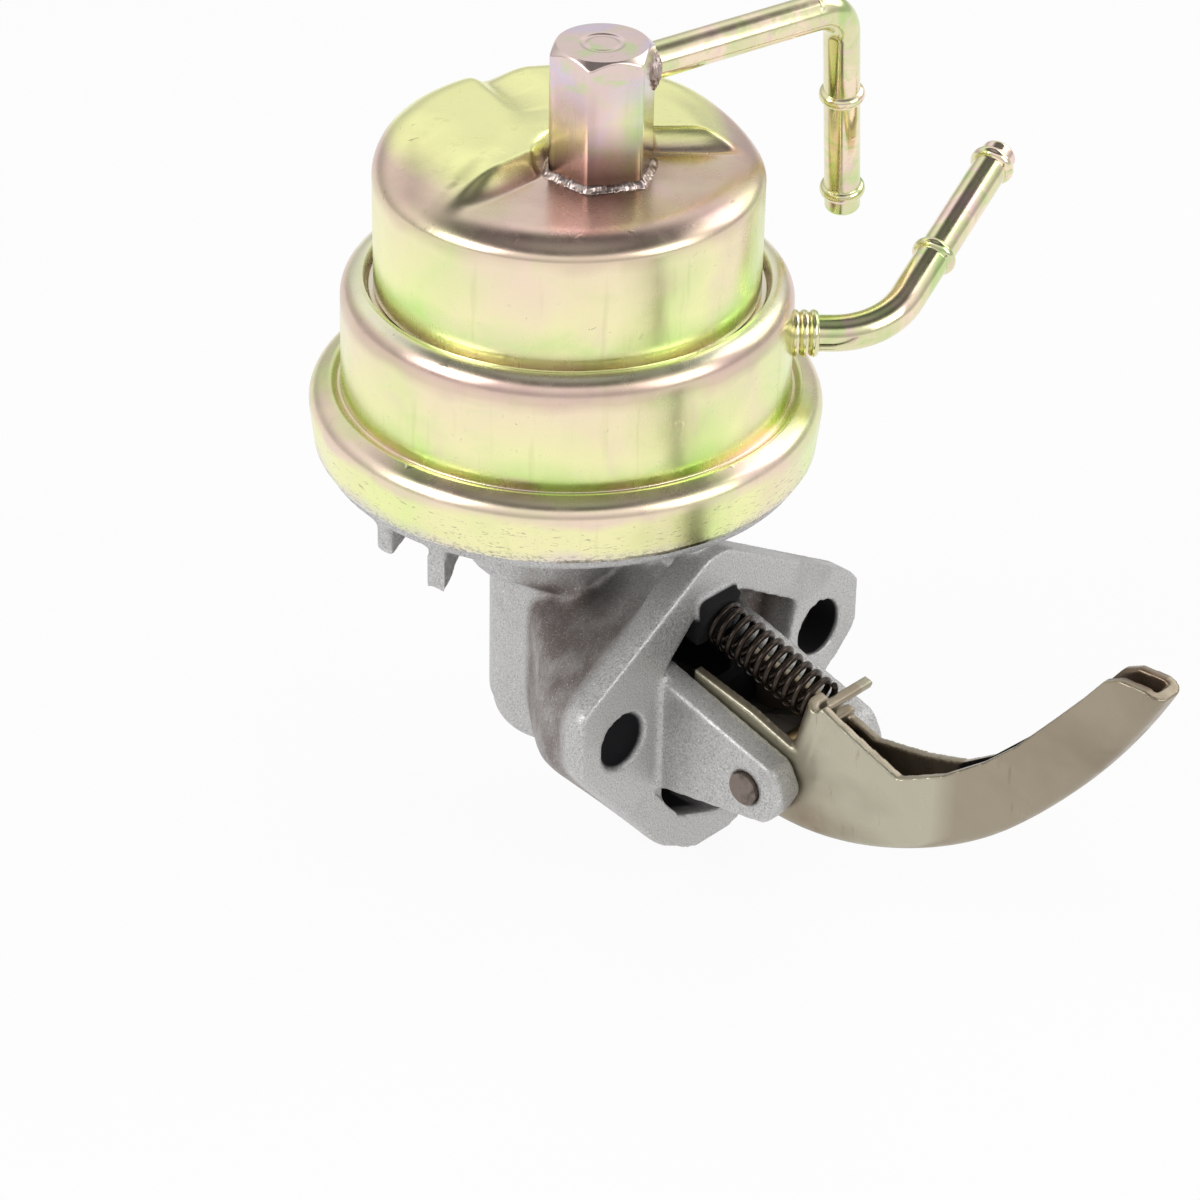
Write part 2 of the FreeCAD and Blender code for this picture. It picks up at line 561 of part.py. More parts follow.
def make_top_can():
    """Top can with a pressed recess that seats the hexagon."""
    outer = at_axis(revolved("top_can_outer", [
        ("0", "mid_top_z - groove_drop"), ("top_r", "mid_top_z - groove_drop"), ("top_r", "top_z"),
        ("0", "top_z")], [("top_corner_r", [("top_r", "top_z")])]))
    inner = at_axis(revolved("top_can_inner", [
        ("0", "mid_top_z - groove_drop - 1"), ("top_r - sheet", "mid_top_z - groove_drop - 1"),
        ("top_r - sheet", "top_z - sheet"), ("0", "top_z - sheet")],
        [("top_corner_r - sheet", [("top_r - sheet", "top_z - sheet")])]))
    dent = recess_tool("top_can_dent", "0", "top_z - recess_depth", "top_z")
    dent_under = recess_tool("top_can_dent_under", "sheet", "top_z - recess_depth - sheet", "top_z - sheet")
    hole = cylinder("top_can_hole", "hex_bore_r", "30", "axis_x + hex_x", "plane_y", "top_z - 15")
    outer_cut = cut("top_can_pressed",
                    outer, fused("top_can_marks", [dent, valley_tool("top_can_valley", "0")]))
    inner_cut = cut("top_can_room", inner,
                    fused("top_can_marks_under", [dent_under, valley_tool("top_can_valley_under", "sheet")]))
    return keep(cut("top_can", outer_cut, fused("top_can_void", [inner_cut, hole])), "top_can")


# Hexagon, braze and welds

def make_hexagon():
    """Hexagon fitting, its braze and the weld of the outlet pipe."""
    foot = "top_z - recess_depth"
    prism = doc.addObject("Part::Prism", "hex_prism")
    prism.Polygon = 6
    bind(prism, Circumradius="hex_flats / 2 / cos(30deg)", Height=f"hex_top_z - ({foot})")
    at_axis(prism, "axis_x + hex_x", "plane_y", foot)
    bevel = at_axis(revolved("hex_bevel", [
        ("0", foot), ("hex_flats", foot), ("hex_flats", "hex_top_z - hex_bevel"),
        ("hex_flats / 2 / cos(30deg)", "hex_top_z - hex_bevel"), ("hex_face_r", "hex_top_z"),
        ("0", "hex_top_z")]),
        "axis_x + hex_x")
    blank = doc.addObject("Part::Common", "hex_blank")
    blank.Base = prism
    blank.Tool = bevel
    bore = cylinder("hex_bore", "hex_bore_r", "outlet_z + hex_cap_t - top_z + recess_depth",
                    "axis_x + hex_x", "plane_y", foot)
    port = cylinder("hex_port", "pipe_r + gap / 2", "hex_flats", "axis_x + hex_x", "plane_y", "outlet_z",
                    facing(heading(size.outlet_heading)))
    dimple = at_axis(revolved("hex_dimple", [
        ("2.6", "hex_top_z + 1"), ("2.6", "hex_top_z - 0.3"), ("3.3", "hex_top_z - 0.3"),
        ("3.3", "hex_top_z + 1")]),
        "axis_x + hex_x")
    keep(cut("hex_outlet", blank, fused("hex_openings", [bore, port, dimple])), "hex_outlet")
    bead = at_axis(revolved("hex_braze_bead", [
        ("hex_bore_r + 1", foot), ("braze_r", foot), ("braze_r - 0.3", f"{foot} + 0.8"),
        ("hex_flats / 2 + 0.9", f"{foot} + braze_height"), ("hex_bore_r + 1", f"{foot} + braze_height")]),
        "axis_x + hex_x")
    keep(cut("hex_braze", bead, prism), "hex_braze")
    weld = revolved("outlet_weld_bead", [
        ("pipe_r + gap / 2", "3"), ("weld_r", "3"), ("weld_r", "hex_flats / 2 + 0.9"),
        ("pipe_r + 0.5", "hex_flats / 2 + weld_reach"), ("pipe_r + gap / 2", "hex_flats / 2 + weld_reach")])
    weld.Placement = FreeCAD.Placement(Vec(0, 0, 0), facing(heading(size.outlet_heading)))
    at_axis(weld, "axis_x + hex_x", "plane_y", "outlet_z")
    keep(cut("outlet_weld", weld, prism), "outlet_weld")


# Pipes and collar

def bent_tube(name, start, corner, end, bend_r, beads):
    """Bent tube along two runs with a round bend, with hose beads on its second run."""
    run_in, run_out = (corner - start).normalize(), (end - corner).normalize()
    half_turn = run_in.getAngle(run_out) / 2
    reach = bend_r * math.tan(half_turn)
    first, last = corner - run_in * reach, corner + run_out * reach
    middle = (run_out - run_in).normalize()
    top = corner + middle * (bend_r / math.cos(half_turn) - bend_r)
    path = Part.Wire([Part.makeLine(start, first), Part.Arc(first, top, last).toShape(),
                      Part.makeLine(last, end)])
    outer = path.makePipeShell([Part.Wire(Part.makeCircle(size.pipe_r, start, run_in))], True, False)
    for distance in beads:
        place = corner + run_out * distance
        outer = outer.fuse(Part.makeTorus(size.pipe_r, size.bead_r, place, run_out))
    bore = path.makePipeShell([Part.Wire(Part.makeCircle(size.pipe_r - size.pipe_wall, start, run_in))],
                              True, False)
    return keep(solid_feature(name, outer.cut(bore)), name)


def make_pipes():
    """Inlet and outlet pipes and the ribbed collar of the inlet."""
    hexagon = Vec(size.axis_x + size.hex_x, size.plane_y, size.outlet_z)
    way = heading(size.outlet_heading)
    corner = hexagon + way * size.outlet_reach
    down = heading(size.outlet_leg_heading, size.outlet_leg_lean - 90)
    bent_tube("outlet_pipe", hexagon + way * (size.hex_bore_r + 0.5), corner, corner + down * size.outlet_leg,
              size.outlet_bend_r, (size.outlet_bead, size.outlet_end_bead))
    axis = Vec(size.axis_x, size.plane_y, size.inlet_z)
    out = heading(size.inlet_heading)
    corner = axis + out * size.inlet_reach
    leg = heading(size.inlet_leg_heading, size.inlet_leg_rise)
    bent_tube("inlet_pipe", axis + out * (size.mid_r - size.sheet - 0.4), corner,
              corner + leg * size.inlet_leg,
              size.inlet_bend_r, (size.inlet_bead, size.inlet_end_bead))
    step = "collar_reach / 6"
    profile = [("pipe_r + gap / 2", "mid_r - 2"), ("collar_r", "mid_r - 2")]
    for i in range(6):
        radius = "collar_r" if i % 2 == 0 else "collar_waist_r"
        profile += [(radius, f"mid_r + {i} * {step} + 0.1"), (radius, f"mid_r + {i + 1} * {step}")]
    profile.append(("pipe_r + gap / 2", f"mid_r + 6 * {step}"))
    collar = revolved("inlet_collar_turned", profile)
    collar.Placement = FreeCAD.Placement(Vec(0, 0, 0), facing(out))
    at_axis(collar, "axis_x", "plane_y", "inlet_z")
    wall = cylinder("inlet_collar_wall", "mid_r", "30", "axis_x", "plane_y", "inlet_z - 15")
    keep(cut("inlet_collar", collar, wall), "inlet_collar")


# Rocker arm and return spring

def arm_side(top_edge, lift):
    """Side view of the arm: rounded underside raised by a lift, closed by a top edge."""
    belly = size.arm_belly_r - lift
    toe = size.arm_toe_r - lift
    base_x, base_z = size.pin_x + 3.2, size.pin_z - size.arm_drop
    turn, more = math.radians(size.arm_belly_turn), math.radians(size.arm_toe_turn)

    def on_belly(a):
        return Vec(base_x + belly * math.sin(a), 0, base_z + size.arm_belly_r - belly * math.cos(a))

    centre = Vec(base_x + (size.arm_belly_r - size.arm_toe_r) * math.sin(turn), 0,
                 base_z + size.arm_belly_r - (size.arm_belly_r - size.arm_toe_r) * math.cos(turn))

    def on_toe(a):
        return centre + Vec(toe * math.sin(a), 0, -toe * math.cos(a))

    end = on_toe(turn + more)
    belly_arc = Part.Arc(on_belly(0), on_belly(turn / 2), on_belly(turn)).toShape()
    toe_arc = Part.Arc(on_belly(turn), on_toe(turn + more / 2), end).toShape()
    corners = [end] + [Vec(x, 0, z) for x, z in top_edge] + [on_belly(0)]
    lines = [Part.makeLine(a, b) for a, b in zip(corners, corners[1:])]
    return Part.Face(Part.Wire([belly_arc, toe_arc] + lines))


def across(face, low, high):
    """Extrude a side view face across the pump."""
    moved = face.copy()
    moved.translate(Vec(0, low, 0))
    return moved.extrude(Vec(0, high - low, 0))


def make_rocker():
    """Rocker arm: a pressed channel with a bent tab for the return spring."""
    px, pz, y = size.pin_x, size.pin_z, size.plane_y
    tip = [(67.5, 45.0), (62.9, 44.8), (60.0, 43.3), (56.8, 39.0), (51.8, 32.8), (45.0, 24.6)]
    near_wall = [(39.7, 19.4), (32.4, 13.7), (27.0, 11.0), (24.7, 10.0), (10.2, 17.1), (8.6, 15.2),
                 (7.8, 12.5),
                 (7.8, 5.3), (5.6, 7.0), (-4.1, 10.1), (-16.3, 12.6)]
    far_wall = [(36.9, 16.3), (31.2, 12.3), (22.6, 8.9), (17.1, 7.3), (11.5, 5.9), (4.5, 7.8), (-16.3, 10.9)]
    rear = [(-16.3, 2.5), (-9.8, -6.6), (-5.0, -size.arm_drop)]
    near, far = ([(px + x, pz + z) for x, z in tip + wall + rear] for wall in (near_wall, far_wall))
    blank = across(arm_side(near, 0), y - size.arm_half, y).fuse(across(arm_side(far, 0), y,
        y + size.arm_half))
    body = blank.removeSplitter().common(arm_plan(0))
    body = body.makeFillet(size.arm_edge_r, [edge for edge in body.Edges if under_edge(edge)])
    sky = [(px + 75, pz + 47.5), (px + 75, pz + 90), (px - 30, pz + 90), (px - 30, pz - 30),
           (px - 6.5, pz - 30),
           (px - 6.5, pz - size.arm_drop + size.arm_sheet)]
    body = body.cut(across(arm_side(sky, size.arm_sheet), y - 50, y + 50).common(arm_plan(size.arm_sheet)))
    heel = Part.makeBox(2.2, 2 * size.arm_half - 0.4, 6.2,
                        Vec(px - 16.3, y - size.arm_half + 0.2, size.lever_top_z + 0.4))
    body = body.fuse([spring_tab(), heel]).removeSplitter()
    hole = Part.makeCylinder(size.pin_r + size.pin_slack, 60, Vec(px, y - 30, pz), Y_AXIS)
    return keep(solid_feature("rocker_arm", body.cut(hole)), "rocker_arm")


def spring_tab():
    """Tab bent off the near wall, square to the return spring, with a finger towards the far side."""
    half, sheet, bend = size.arm_half, size.arm_sheet, size.tab_bend_r
    plate = [(-half + bend, -size.tab_low), (half, -size.tab_low), (half, -3.4), (1.9, -3.4), (1.9, 0),
             (half + size.tab_finger, 0), (half + size.tab_finger, 1.3), (-1.0, 1.3), (-2.4, size.tab_high),
             (-half + bend, size.tab_high)]
    corners = [Vec(u, v, 0) for u, v in plate]
    face = Part.Face(Part.makePolygon(corners + corners[:1])).extrude(Vec(0, 0, sheet))
    height = size.tab_low + size.tab_high
    turn = Part.makeCylinder(bend, height, Vec(-half + bend, -size.tab_low, bend), Y_AXIS)
    turn = turn.cut(Part.makeCylinder(bend - sheet, height, Vec(-half + bend, -size.tab_low, bend), Y_AXIS))
    turn = turn.common(Part.makeBox(bend, height, bend, Vec(-half, -size.tab_low, 0)))
    run = Part.makeBox(sheet, height, 1.5, Vec(-half, -size.tab_low, bend))
    tab = face.fuse([turn, run]).removeSplitter()
    axis = Vec(math.cos(math.radians(size.spring_tilt)), 0, -math.sin(math.radians(size.spring_tilt)))
    place = Vec(size.seat_x, size.plane_y, size.seat_z) + axis * (size.spring_length + 0.3)
    tab.Placement = FreeCAD.Placement(place, FreeCAD.Rotation(Y_AXIS, axis.cross(Y_AXIS), axis, "XYZ"))
    return tab


def arm_plan(inset):
    """Plan view of the arm: parallel between the ears, then a smooth taper to the tip."""
    px, y = size.pin_x, size.plane_y
    back, start, far = Vec(px - 60, size.arm_half - inset, -100), Vec(px + 4, size.arm_half - inset,
        -100), px + 90
    bends = [Vec(px + 31.7, size.arm_mid_half - inset, -100), Vec(far, size.arm_tip_half - 0.4 - inset, -100)]
    side = Part.BSplineCurve()
    side.interpolate([start] + bends, InitialTangent=X_AXIS, FinalTangent=Vec(1, -0.01, 0))
    side = Part.Wire([Part.makeLine(back, start), side.toShape()])
    other = side.mirror(Vec(0, 0, 0), Y_AXIS)
    ends = [Part.makeLine(back, Vec(back.x, -back.y, back.z)),
            Part.makeLine(bends[1], Vec(far, -bends[1].y, -100))]
    plan = Part.Face(Part.Wire(Part.__sortEdges__(side.Edges + other.Edges + ends)))
    plan.translate(Vec(0, y, 0))
    return plan.extrude(Vec(0, 0, 300))


def under_edge(edge):
    """Tell whether an edge is one of the long edges of the arm's underside."""
    middle = edge.valueAt((edge.FirstParameter + edge.LastParameter) / 2)
    ends = [vertex.Point for vertex in edge.Vertexes] + [middle]
    beside = all(abs(p.y - size.plane_y) > size.arm_tip_half - 1 for p in ends)
    return beside and all(abs(under_gap(p)) < 0.01 for p in ends)


def under_gap(point):
    """Distance of a point from the arm's rounded underside in side view."""
    flat = Vec(point.x, 0, point.z)
    return min(Part.Vertex(flat).distToShape(edge)[0] for edge in arm_side([(size.pin_x - 5, 200)],
        0).Edges[:2])


def make_return_spring():
    """Return spring between the seat of the casting and the tab of the arm."""
    spring = coil("return_spring", size.spring_length, size.spring_r, size.spring_wire_r, size.spring_turns)
    axis = Vec(math.cos(math.radians(size.spring_tilt)), 0, -math.sin(math.radians(size.spring_tilt)))
    start = Vec(size.seat_x, size.plane_y, size.seat_z) + axis * 0.15
    spring.Placement = FreeCAD.Placement(start, facing(axis))
    return keep(spring, "return_spring")


# Pin, lever and bush

def make_pivot():
    """Pivot pin, bush and pull lever."""
    sideways = FreeCAD.Rotation(X_AXIS, 90)
    width = "2 * (arm_half + side_slack + ear_t + pin_proud)"
    keep(cylinder("pivot_pin", "pin_r", width, "pin_x", f"plane_y + ({width}) / 2", "pin_z", sideways),
         "pivot_pin")
    shell = cylinder("bush_outer", "bush_r", "2 * lever_half", "pin_x", "plane_y + lever_half", "pin_z",
                     sideways)
    bore = cylinder("bush_bore", "pin_r + pin_slack", "40", "pin_x", "plane_y + 20", "pin_z", sideways)
    keep(cut("lever_bush", shell, bore), "lever_bush")
    lever = padded("lever_blank", "XZ_Plane", [
        ("axis_x - fork_tail", "lever_low_z"), ("axis_x - fork_tail", "lever_top_z"),
        ("pin_x - 10", "lever_top_z"),
        ("pin_x - 3", "pin_z + lever_hub"), ("pin_x + 3", "pin_z + lever_hub"),
        ("pin_x + lever_hub", "pin_z + 3"),
        ("pin_x + lever_hub", "pin_z - 3"), ("pin_x + 3", "pin_z - lever_hub"),
        ("pin_x - 4", "pin_z - lever_hub"),
        ("pin_x - 14", "lever_low_z - 1.5"), ("pin_x - 30", "lever_low_z")], "2 * lever_half", middle=True)
    bind(lever, Placement__Base__y="plane_y")
    trough = doc.addObject("Part::Box", "lever_trough")
    bind(trough, Length="40", Width="2 * (lever_half - lever_cheek_t)", Height="40",
         Placement__Base__x="pin_x - 12", Placement__Base__y="plane_y - lever_half + lever_cheek_t",
         Placement__Base__z="pin_z - 20")
    slot = doc.addObject("Part::Box", "lever_slot")
    bind(slot, Length="fork_tail + rod_r + rod_slack + 20", Width="2 * (rod_r + rod_slack)", Height="40",
         Placement__Base__x="axis_x - fork_tail - 20", Placement__Base__y="plane_y - rod_r - rod_slack",
         Placement__Base__z="pin_z - 20")
    hole = cylinder("lever_hole", "bush_r + gap / 2", "40", "pin_x", "plane_y + 20", "pin_z", sideways)
    keep(cut("pull_lever", lever, fused("lever_openings", [trough, slot, hole])), "pull_lever")


# Diaphragm, rod and seals

def make_diaphragm():
    """Diaphragm with its plates, rod, spring and seal."""
    mid_z = "clamp_z + skin_rise"
    rod_low = "lever_low_z - 0.3 - rod_head_t"
    keep(at_axis(revolved("pull_rod", [
        ("0", rod_low), ("rod_head_r", rod_low), ("rod_head_r", "lever_low_z - 0.9"),
        ("rod_r + 0.4", "lever_low_z - 0.3"),
        ("rod_r", "lever_low_z - 0.3"), ("rod_r", f"{mid_z} - plate_t - 1.5"),
        ("rivet_r", f"{mid_z} - plate_t - 1.5"),
        ("rivet_r", f"{mid_z} - plate_t"), ("rod_r", f"{mid_z} - plate_t"),
        ("rod_r", f"{mid_z} + skin_t + plate_t"),
        ("rivet_r", f"{mid_z} + skin_t + plate_t"), ("rivet_r - 0.8",
                                                     f"{mid_z} + skin_t + plate_t + rivet_t"),
        ("0", f"{mid_z} + skin_t + plate_t + rivet_t")])), "pull_rod")
    hole = "rod_r + gap / 2"
    keep(at_axis(revolved("diaphragm", [
        (hole, mid_z), ("skin_flat_r", mid_z), ("bowl_r - 1.5", "clamp_z"), ("rim_lip_r", "clamp_z"),
        ("rim_lip_r", "clamp_z + skin_t"), ("bowl_r - 1", "clamp_z + skin_t"),
        ("skin_flat_r + 0.5", f"{mid_z} + skin_t"),
        (hole, f"{mid_z} + skin_t")])), "diaphragm")
    keep(at_axis(revolved("lower_plate", [
        (hole, f"{mid_z} - plate_t"), ("low_plate_r - plate_t", f"{mid_z} - plate_t"),
        ("low_plate_r - plate_t", f"{mid_z} - plate_lip"), ("low_plate_r", f"{mid_z} - plate_lip"),
        ("low_plate_r", f"{mid_z}"), (hole, f"{mid_z}")])), "lower_plate")
    keep(at_axis(revolved("upper_plate", [
        (hole, f"{mid_z} + skin_t"), ("top_plate_r", f"{mid_z} + skin_t"),
        ("top_plate_r", f"{mid_z} + skin_t + plate_lip"),
        ("top_plate_r - plate_t", f"{mid_z} + skin_t + plate_lip"),
        ("top_plate_r - plate_t", f"{mid_z} + skin_t + plate_t"), (hole, f"{mid_z} + skin_t + plate_t")])),
        "upper_plate")
    seat = "web_low_z + web_t"
    keep(at_axis(revolved("oil_seal", [
        ("rod_r + 0.3", seat), ("seal_r", seat), ("seal_r", f"{seat} + seal_t"),
        ("seal_r - 2", f"{seat} + seal_t"),
        ("seal_r - 3.5", f"{seat} + 1.2"), ("rod_r + 1.2", f"{seat} + seal_t - 0.4"),
        ("rod_r + 0.05", f"{seat} + seal_t - 0.8")])),
        "oil_seal")
    keep(at_axis(revolved("seal_washer", [
        ("rod_r + 0.9", f"{seat} + seal_t"), ("washer_r", f"{seat} + seal_t"),
        ("washer_r", f"{seat} + seal_t + washer_t"),
        ("rod_r + 0.9", f"{seat} + seal_t + washer_t")])), "seal_washer")
    floor = size.web_low_z + size.web_t + size.seal_t + size.washer_t
    length = size.clamp_z + size.skin_rise - size.plate_t - floor - 0.1
    spring = coil("diaphragm_spring", length, size.coil_r, size.coil_wire_r, size.coil_turns, 12)
    spring.Placement = FreeCAD.Placement(Vec(size.axis_x, size.plane_y, floor + 0.05), FreeCAD.Rotation())
    keep(spring, "diaphragm_spring")


# Valve plate and valves

def make_valve_plate():
    """Valve plate clamped between the diaphragm and the can."""
    foot, deck, shoulder = "clamp_z + skin_t", "mid_r - sheet - deck_slack", "mid_foot_z - 1.7"
    plate = at_axis(revolved("valve_plate_turned", [
        ("0", "deck_z"), (f"{deck} - deck_wall", "deck_z"), (f"{deck} - deck_wall", foot),
        ("deck_foot_r", foot),
        ("deck_foot_r", "ring_top_z - 1.5"), (f"{deck} + 0.4", shoulder), (deck, shoulder),
        (deck, "deck_z + deck_t"), ("0", "deck_z + deck_t")]))
    holes = [cylinder(f"valve_plate_hole{i}", "valve_r + gap / 2", "20", f"axis_x {sign} valve_x", "plane_y",
                      "deck_z - 8") for i, sign in enumerate("-+")]
    keep(cut("valve_plate", plate, fused("valve_plate_holes", holes)), "valve_plate")


def make_valve(name, sign, opens_up):
    """Spring-loaded valve: a cage with its seat, a disc and a spring."""
    base, rise = ("deck_z", "") if opens_up else ("deck_z + valve_height", "-")

    def up(text):
        return f"{base} {'+' if opens_up else '-'} ({text})"

    disc_z = "valve_seat_t + seat_play"
    place = f"axis_x {sign} valve_x"
    keep(at_axis(revolved(f"{name}_cage", [
        ("valve_port_r", up("0")), ("valve_r", up("0")), ("valve_r", up("valve_height")),
        ("valve_port_r + 0.4", up("valve_height")), ("valve_port_r + 0.4", up("valve_height - valve_lip_t")),
        ("valve_room_r", up("valve_height - valve_lip_t")), ("valve_room_r", up("valve_seat_t")),
        ("valve_port_r", up("valve_seat_t"))]), place), f"{name}_cage")
    keep(at_axis(revolved(f"{name}_disc", [
        ("0", up(disc_z)), ("disc_r", up(disc_z)), ("disc_r", up(f"{disc_z} + disc_t")),
        ("0", up(f"{disc_z} + disc_t"))]),
        place), f"{name}_disc")
    length = size.valve_height - size.valve_lip_t - size.valve_seat_t - size.seat_play - size.disc_t - 0.1
    start = number(up(f"{disc_z} + disc_t + 0.05" if opens_up else "valve_height - valve_lip_t - 0.05"))
    coil_x = size.axis_x + (size.valve_x if sign == "+" else -size.valve_x)
    spring = coil(f"{name}_spring", length, size.valve_coil_r + 0.8, size.valve_wire_r, size.valve_coils)
    spring.Placement = FreeCAD.Placement(Vec(coil_x, size.plane_y, start), FreeCAD.Rotation())
    keep(spring, f"{name}_spring")


def make_transfer_tube():
    """Tube that leads from the outlet valve to the top can."""
    keep(at_axis(revolved("transfer_tube", [
        ("tube_r - tube_wall", "deck_z + deck_t"), ("tube_r", "deck_z + deck_t"),
        ("tube_r", "mid_top_z - groove_drop - sheet"), ("tube_r - tube_wall",
                                                        "mid_top_z - groove_drop - sheet")]),
        "axis_x + valve_x"), "transfer_tube")


# Build, check and write

def check_document():
    """Stop when an object failed or a piece is not a sound solid."""
    for item in doc.Objects:
        if {"Invalid", "Error"} & set(item.State):
            raise RuntimeError(f"{item.Name} failed: {item.State}")
    for item in NODES:
        if item.Shape.isNull() or not item.Shape.isValid() or not item.Shape.Solids:
            raise RuntimeError(f"{item.Label} is not a sound solid")


make_casting()
make_main_can()
make_top_can()
make_hexagon()
make_pipes()
make_rocker()
make_return_spring()
make_pivot()
make_diaphragm()
make_valve_plate()
make_valve("inlet_valve", "-", False)
make_valve("outlet_valve", "+", True)
make_transfer_tube()
doc.recompute()
check_document()

os.makedirs("parts", exist_ok=True)
for item in NODES:
    item.Shape.exportStep(os.path.join("parts", item.Label + ".step"))
    print(f"{item.Label}: {len(item.Shape.Solids)} solid, {item.Shape.Volume:.1f} mm3")
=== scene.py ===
"""Looks of a mechanical fuel pump: plated pressed cans on a cast flanged body, with bent pipes and a rocker arm.

Places and lengths are in millimetres.
"""

import json
import logging
import math
from collections.abc import Callable, Sequence
from dataclasses import dataclass
from enum import Enum
from functools import partial, reduce

import bmesh
import bpy
from mathutils import Matrix, Vector, noise

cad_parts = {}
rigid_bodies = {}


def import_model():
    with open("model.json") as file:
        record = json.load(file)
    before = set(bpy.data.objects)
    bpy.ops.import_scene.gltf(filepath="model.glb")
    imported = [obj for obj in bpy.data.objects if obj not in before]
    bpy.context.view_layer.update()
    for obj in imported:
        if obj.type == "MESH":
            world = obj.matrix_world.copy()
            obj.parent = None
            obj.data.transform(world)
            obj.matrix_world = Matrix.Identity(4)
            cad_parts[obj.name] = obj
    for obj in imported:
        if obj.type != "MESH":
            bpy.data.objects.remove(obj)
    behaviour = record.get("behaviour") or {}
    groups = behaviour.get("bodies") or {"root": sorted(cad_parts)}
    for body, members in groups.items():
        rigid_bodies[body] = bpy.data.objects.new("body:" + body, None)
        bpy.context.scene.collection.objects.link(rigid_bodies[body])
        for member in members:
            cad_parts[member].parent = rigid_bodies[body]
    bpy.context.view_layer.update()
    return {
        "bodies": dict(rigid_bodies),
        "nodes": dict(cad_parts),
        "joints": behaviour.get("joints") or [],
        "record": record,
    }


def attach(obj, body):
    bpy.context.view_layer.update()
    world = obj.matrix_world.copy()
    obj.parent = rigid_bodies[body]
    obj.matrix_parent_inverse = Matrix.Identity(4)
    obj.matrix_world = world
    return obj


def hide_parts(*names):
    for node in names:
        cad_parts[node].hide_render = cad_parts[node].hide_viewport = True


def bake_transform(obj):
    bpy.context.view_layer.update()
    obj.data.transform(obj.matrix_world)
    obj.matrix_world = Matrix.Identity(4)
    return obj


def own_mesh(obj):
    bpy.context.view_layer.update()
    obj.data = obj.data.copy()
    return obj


MM = 0.001
LOG = logging.getLogger("fuel_pump")
Colour = tuple[float, float, float]
Point = tuple[float, float, float]
Outline = Sequence[tuple[float, float]]
Mesh = tuple[list[Vector], list[list[int]]]
Socket = bpy.types.NodeSocket
Object = bpy.types.Object
Material = bpy.types.Material
UP = Vector((0.0, 0.0, 1.0))
AXIS = Vector((-33.9, -2.5, 0.0))
HEX_AXIS = Vector((-27.2, -2.5, 0.0))
OUTLET_Z = 100.6
INLET_Z = 53.4
OUTLET_TURN = 79.5
INLET_TURN = 44.0


class Body(Enum):
    """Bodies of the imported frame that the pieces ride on."""

    HOUSING = "housing"
    ROCKER = "rocker"
    ROD = "rod"


class Slot(Enum):
    """The record's slots whose finishes the built pieces take."""

    CAN = "plated_can"
    HEX = "plated_hex"
    PIPE = "plated_pipe"
    CAST = "cast_alloy"
    ARM = "arm_steel"
    RUBBER = "rubber_black"
    SPRING = "spring_steel"
    BRAZE = "braze"


# Node helpers

class Nodes:
    """A node tree with short calls for what goes into it."""

    def __init__(self, tree: bpy.types.NodeTree) -> None:
        """Keep the tree."""
        self.tree = tree

    def fill(self, made: bpy.types.Node, inputs: dict[str | int, object]) -> None:
        """Link sockets to a node's inputs, and set the inputs that get a value.

        Args:
            made: The node.
            inputs: A socket, a value or nothing for each input, by its name or number.
        """
        for key, value in inputs.items():
            socket = made.inputs[key]
            if isinstance(value, Socket):
                self.tree.links.new(value, socket)
            elif value is not None:
                socket.default_value = (*value, 1.0) if socket.type == "RGBA" else value

    def node(self, kind: str, inputs: dict[str | int, object], **settings: object) -> bpy.types.Node:
        """Add a node.

        Args:
            kind: Blender's name of the node type, without its first words.
            inputs: What its inputs get.
            **settings: Its properties.

        Returns:
            The new node.
        """
        made = self.tree.nodes.new(f"ShaderNode{kind}")
        for key, value in settings.items():
            setattr(made, key, value)
        self.fill(made, inputs)
        return made

    def ramp(self, source: Socket, stops: Sequence[tuple[float, Colour]]) -> Socket:
        """Turn a value into a colour.

        Args:
            source: The value.
            stops: Positions and colours of the ramp.

        Returns:
            The colour.
        """
        made = self.node("ValToRGB", {"Fac": source})
        bar = made.color_ramp.elements
        while len(bar) < len(stops):
            bar.new(0.5)
        for element, (position, colour) in zip(bar, stops):
            element.position, element.color = position, (*colour, 1.0)
        return made.outputs["Color"]


